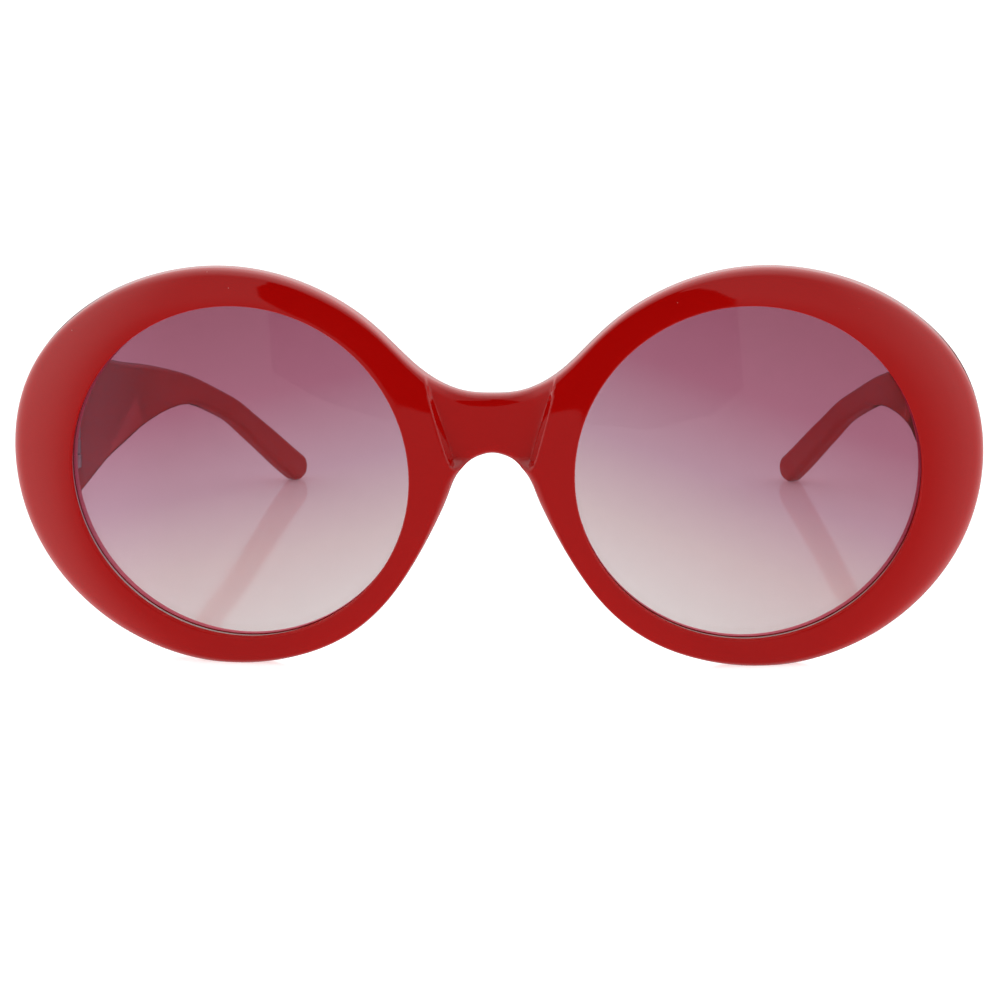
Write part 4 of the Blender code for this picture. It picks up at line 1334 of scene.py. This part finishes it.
@dataclass
class Hinge:
    """A three-barrel hinge: a leaf with two barrels on the front, one with one on the temple, and a screw."""

    hinge: np.ndarray
    barrel_radius: float = 0.0016
    barrel_height: float = 0.0022
    barrel_gap: float = 0.0001
    barrel_chamfer: float = 0.00022
    barrel_edge_share: float = 0.3
    leaf_thickness: float = 0.001
    leaf_outer_face: float = 0.00155
    leaf_length: float = 0.0066
    leaf_corner: float = 0.0003
    anchor_depth: float = 0.0011
    anchor_length: float = 0.0022
    anchor_height: float = 0.0034
    bore_radius: float = 0.0008
    screw_radius: float = 0.0007
    head_radius: float = 0.0013
    head_height: float = 0.0008
    head_gap: float = 0.00005
    head_foot_share: float = 0.93
    head_edge_share: float = 0.1
    head_dome_share: float = 0.35
    head_dome_end_share: float = 0.97
    head_points: int = 8
    point_share: float = 0.8
    point_length_share: float = 0.2
    slot_width: float = 0.0004
    slot_depth: float = 0.0004
    pocket_clearance: float = 0.0003
    overrun: float = 0.002
    steps: int = 48

    def __post_init__(self) -> None:
        """Works out the leaves' height and where their barrels lie."""
        self.half = self.barrel_height * 1.5 + self.barrel_gap
        middle = self.barrel_height / 2
        self.centre_barrel = ((-middle, middle),)
        self.end_barrels = ((-self.half, -middle - self.barrel_gap), (middle + self.barrel_gap, self.half))

    def at(self, side: int, *corner: float) -> np.ndarray:
        """A world point from (outwards, back, up) distances from the hinge's axis."""
        return (self.hinge + corner) * (side, 1, 1)

    def block(self, name: str, side: int, low: tuple, high: tuple, edge: float = 0.0) -> bpy.types.Object:
        """A slab between two corners given from the hinge's axis."""
        return slab(name, self.at(side, *low), self.at(side, *high), edge)

    def seat(self, side: int, towards: int) -> tuple[bpy.types.Object, ...]:
        """The cutters of a leaf's seat: for the leaf, its anchor, the barrels and the screw's head."""
        gap, half = self.pocket_clearance, self.half + self.pocket_clearance
        deep, reach = self.leaf_outer_face + gap, towards * (self.leaf_length + gap)
        leaf = self.block("seat", side, (-self.overrun, 0, -half), (deep, reach, half))
        top = half + self.head_height + gap
        barrels = self.rod("seat_barrels", side, self.barrel_radius + gap, -half, top)
        far, tall = self.leaf_length - self.leaf_thickness, self.anchor_height / 2 + gap
        anchor = self.block(
            "seat_anchor", side, (0, towards * (far - self.anchor_length - gap), -tall),
            (deep + self.anchor_depth, towards * (far + gap), tall),
        )
        return leaf, barrels, anchor

    def turned_here(self, name: str, side: int, profile: list, top: float | None = None) -> bpy.types.Object:
        """A piece turned about the hinge's axis, from (radius, height) rows between its ends on the axis.

        Its upper end lies at top, or level with the last row.
        """
        foot, head = (AXIS_RADIUS, profile[0][1]), (AXIS_RADIUS, profile[-1][1] if top is None else top)
        return turned(name, np.array([foot, *profile, head]), self.at(side, 0, 0, 0), self.steps)

    def rod(self, name: str, side: int, radius: float, low: float, high: float) -> bpy.types.Object:
        """A plain rod on the hinge's axis."""
        return self.turned_here(name, side, [(radius, low), (radius, high)])

    def barrel(self, side: int, low: float, high: float) -> bpy.types.Object:
        """A barrel with chamfered ends, which the leaf's bore is cut through later."""
        radius, chamfer = self.barrel_radius, self.barrel_chamfer
        edge = chamfer * self.barrel_edge_share
        return self.turned_here("barrel", side, [
            (radius - chamfer, low), (radius - edge, low + edge), (radius, low + chamfer),
            (radius, high - chamfer), (radius - edge, high - edge), (radius - chamfer, high),
        ])

    def leaf(self, name: str, side: int, towards: int, levels: tuple) -> bpy.types.Object:
        """A leaf: a plate with rounded corners, an anchor sunk in the plastic, and a barrel at each level."""
        near = towards * (self.barrel_radius + self.pocket_clearance)
        inner, outer = self.leaf_outer_face - self.leaf_thickness, self.leaf_outer_face
        far = towards * self.leaf_length
        plate = self.block(name, side, (inner, near, -self.half), (outer, far, self.half), self.leaf_corner)
        plate.name = name
        anchor_far, tall = towards * (self.leaf_length - self.leaf_thickness), self.anchor_height / 2
        anchor_near = anchor_far - towards * self.anchor_length
        anchor = self.block(
            "anchor", side, ((inner + outer) / 2, anchor_near, -tall),
            (outer + self.anchor_depth, anchor_far, tall),
        )
        combine(plate, anchor, Operation.JOIN)
        for low, high in levels:
            barrel = self.barrel(side, low, high)
            arm_end = near + towards * self.leaf_corner * 2
            arm = self.block("arm", side, (inner, 0, low), (outer, arm_end, high))
            combine(barrel, arm, Operation.JOIN)
            combine(plate, barrel, Operation.JOIN)
        reach = self.half + self.overrun
        return combine(plate, self.rod("bore", side, self.bore_radius, -reach, reach), Operation.CUT)

    def screw(self, name: str, side: int) -> bpy.types.Object:
        """The screw: a shank with a low domed head, slotted across."""
        seat, head, shank = self.half + self.head_gap, self.head_radius, self.screw_radius
        top, dome = seat + self.head_height, self.head_dome_share * self.head_height
        turns = np.linspace(0, math.pi / 2 * self.head_dome_end_share, self.head_points)
        screw = self.turned_here(name, side, [
            (shank * self.point_share, -self.half), (shank, -self.half + shank * self.point_length_share),
            (shank, seat), (head * self.head_foot_share, seat),
            (head, seat + self.head_edge_share * self.head_height),
            *((head * math.cos(turn), top - dome * (1 - math.sin(turn))) for turn in turns),
        ], top)
        reach = head + self.overrun
        slot = self.block(
            "slot", side, (-reach, -self.slot_width / 2, top - self.slot_depth),
            (reach, self.slot_width / 2, top + self.overrun),
        )
        return combine(screw, slot, Operation.CUT)

    def build(self, steel: bpy.types.Material) -> None:
        """Makes the leaves and screws of both hinges."""
        for word, side in SIDES.items():
            fixed = self.leaf(f"front_leaf_{word}", side, -1, self.end_barrels)
            finish_piece(fixed, Body.FRONT, f"hinge_front_leaf_{word}", "hinge_steel", steel)
            moving = self.leaf(f"temple_leaf_{word}", side, 1, self.centre_barrel)
            finish_piece(moving, Body.temple(word), f"hinge_temple_leaf_{word}", "hinge_steel", steel)
            screw = self.screw(f"slotted_screw_{word}", side)
            finish_piece(screw, Body.FRONT, f"hinge_screw_{word}", "hinge_steel", steel)
            dress(frame["nodes"][f"core_wire_{word}"], steel)


# The studio


@dataclass
class Studio:
    """A white light tent over a pale table, with the dark opening that the camera looks through.

    The sky lights the glasses evenly. What they mirror is the inside of the tent, which only reflections see.
    """

    azimuth: float = math.radians(3.95)
    elevation: float = math.radians(11.4)
    distance: float = 0.558
    roll: float = math.radians(-0.67)
    target: tuple = (0.0, -0.067585, 0.0392)
    lens_length: float = 136.4
    sensor: float = 36.0
    clip: tuple = (0.01, 50.0)
    shift: tuple = (0.0020, -0.0773)
    table_half: float = 1.0
    sky_front: float = 0.3
    sky_back: float = 2.0
    sky_low: float = 1.28
    sky_top: float = 0.75
    sky_side: float = 1.7
    tent_radius: float = 1.2
    tent_rings: int = 32
    tent_steps: int = 64
    tent_pole: float = 0.01
    opening_glow: float = 0.004
    opening_distance: float = 0.30
    # Corners of the opening in its plane, from below on the left round to the right
    opening: tuple = (
        (-0.110, -0.012), (-0.08, -0.029), (-0.04, -0.041), (0.03, -0.048), (0.07, -0.038), (0.088, -0.022),
        (0.084, 0.03), (0.072, 0.07), (0.058, 0.105), (0.03, 0.15), (-0.01, 0.20), (-0.03, 0.30),
        (-0.07, 0.30), (-0.085, 0.20), (-0.094, 0.15), (-0.107, 0.12), (-0.113, 0.06),
    )

    def camera(self) -> None:
        """Puts the camera on a sphere round the target, rolled about its own axis."""
        data = bpy.data.cameras.new("camera")
        data.lens, data.sensor_width, data.sensor_fit = self.lens_length, self.sensor, "HORIZONTAL"
        data.shift_x, data.shift_y = self.shift
        data.clip_start, data.clip_end = self.clip
        camera = bpy.data.objects.new("camera", data)
        bpy.context.scene.collection.objects.link(camera)
        level = math.cos(self.elevation)
        back = np.array([
            math.sin(self.azimuth) * level, -math.cos(self.azimuth) * level, math.sin(self.elevation),
        ])
        right = np.array([math.cos(self.azimuth), math.sin(self.azimuth), 0.0])
        up = np.cross(back, right)
        cos, sin = math.cos(self.roll), math.sin(self.roll)
        matrix = np.eye(4)
        matrix[:3, 0], matrix[:3, 1], matrix[:3, 2] = right * cos + up * sin, up * cos - right * sin, back
        matrix[:3, 3] = np.array(self.target) + back * self.distance
        camera.matrix_world = Matrix(matrix.tolist())
        bpy.context.scene.camera = camera

    @staticmethod
    def only_reflected(prop: bpy.types.Object) -> None:
        """Lets only reflections see a prop."""
        prop.visible_camera = prop.visible_diffuse = prop.visible_shadow = prop.visible_transmission = False

    def tent(self) -> None:
        """The tent's cloth, a sphere, and its opening, a dark sheet in front of it."""
        turn = np.linspace(self.tent_pole, math.pi - self.tent_pole, self.tent_rings)
        profile = self.tent_radius * np.column_stack([np.sin(turn), -np.cos(turn)])
        cloth = turned("tent_cloth", profile, np.zeros(3), self.tent_steps)
        cloth.data.shade_smooth()
        cloth.data.materials.append(TentCloth(self.tent_radius).material())
        self.only_reflected(cloth)
        depth = self.target[1] - self.opening_distance
        x, z = np.array(self.opening).T
        corners = np.column_stack([x, np.full(len(x), depth), z])
        opening = mesh_object("tent_opening", corners, [tuple(range(len(x)))])
        opening.data.materials.append(Graph.material("tent_opening").shade(
            Base_Color=(0.0, 0.0, 0.0, 1.0), Specular_IOR_Level=0.0, Emission_Color=(1.0, 1.0, 1.0, 1.0),
            Emission_Strength=self.opening_glow,
        ))
        self.only_reflected(opening)

    def sky(self) -> None:
        """Sets the tent's soft light on everything, which reflections don't see.

        Along the direction (x, y, z) it rises evenly with |x| and y, so it is stronger from both sides and
        from behind, and falls with z.
        """
        graph = Graph(bpy.data.worlds.new("tent_light"))
        x, y, z = graph.parts(graph.node("ShaderNodeTexCoord", output="Generated"))
        strength = (
            abs(x).rise(0.0, 1.0, self.sky_side) * y.rise(-1.0, self.sky_front, self.sky_back)
            * z.rise(0.0, self.sky_low, self.sky_top)
        )
        world = graph.shade("Background", Color=(1.0, 1.0, 1.0, 1.0), Strength=strength)
        bpy.context.scene.world = world
        world.cycles_visibility.glossy = False

    def build(self) -> None:
        """Makes the camera, the sky, the table and the tent."""
        self.camera()
        self.sky()
        bpy.context.scene.view_settings.view_transform = "Standard"
        half = self.table_half
        corners = np.array([(-half, -half, 0), (half, -half, 0), (half, half, 0), (-half, half, 0)])
        table = mesh_object("table_top", corners, [(0, 1, 2, 3)])
        table.data.materials.append(PaleTable().material())
        table.visible_glossy = False
        self.tent()


def main() -> None:
    """Builds the sunglasses sub-assembly by sub-assembly, then the studio."""
    logging.basicConfig(level=logging.INFO, format="%(name)s %(message)s")
    plastic = PolishedPlastic().material()
    front = Front()
    temple = Temple(front)
    hinge = Hinge(temple.hinge)
    front.build(plastic, temple, hinge)
    Lens(front).build()
    NosePad(front).build(plastic)
    temple.build(hinge)
    hinge.build(BrushedSteel().material())
    Studio().build()


if __name__ == "__main__":
    main()
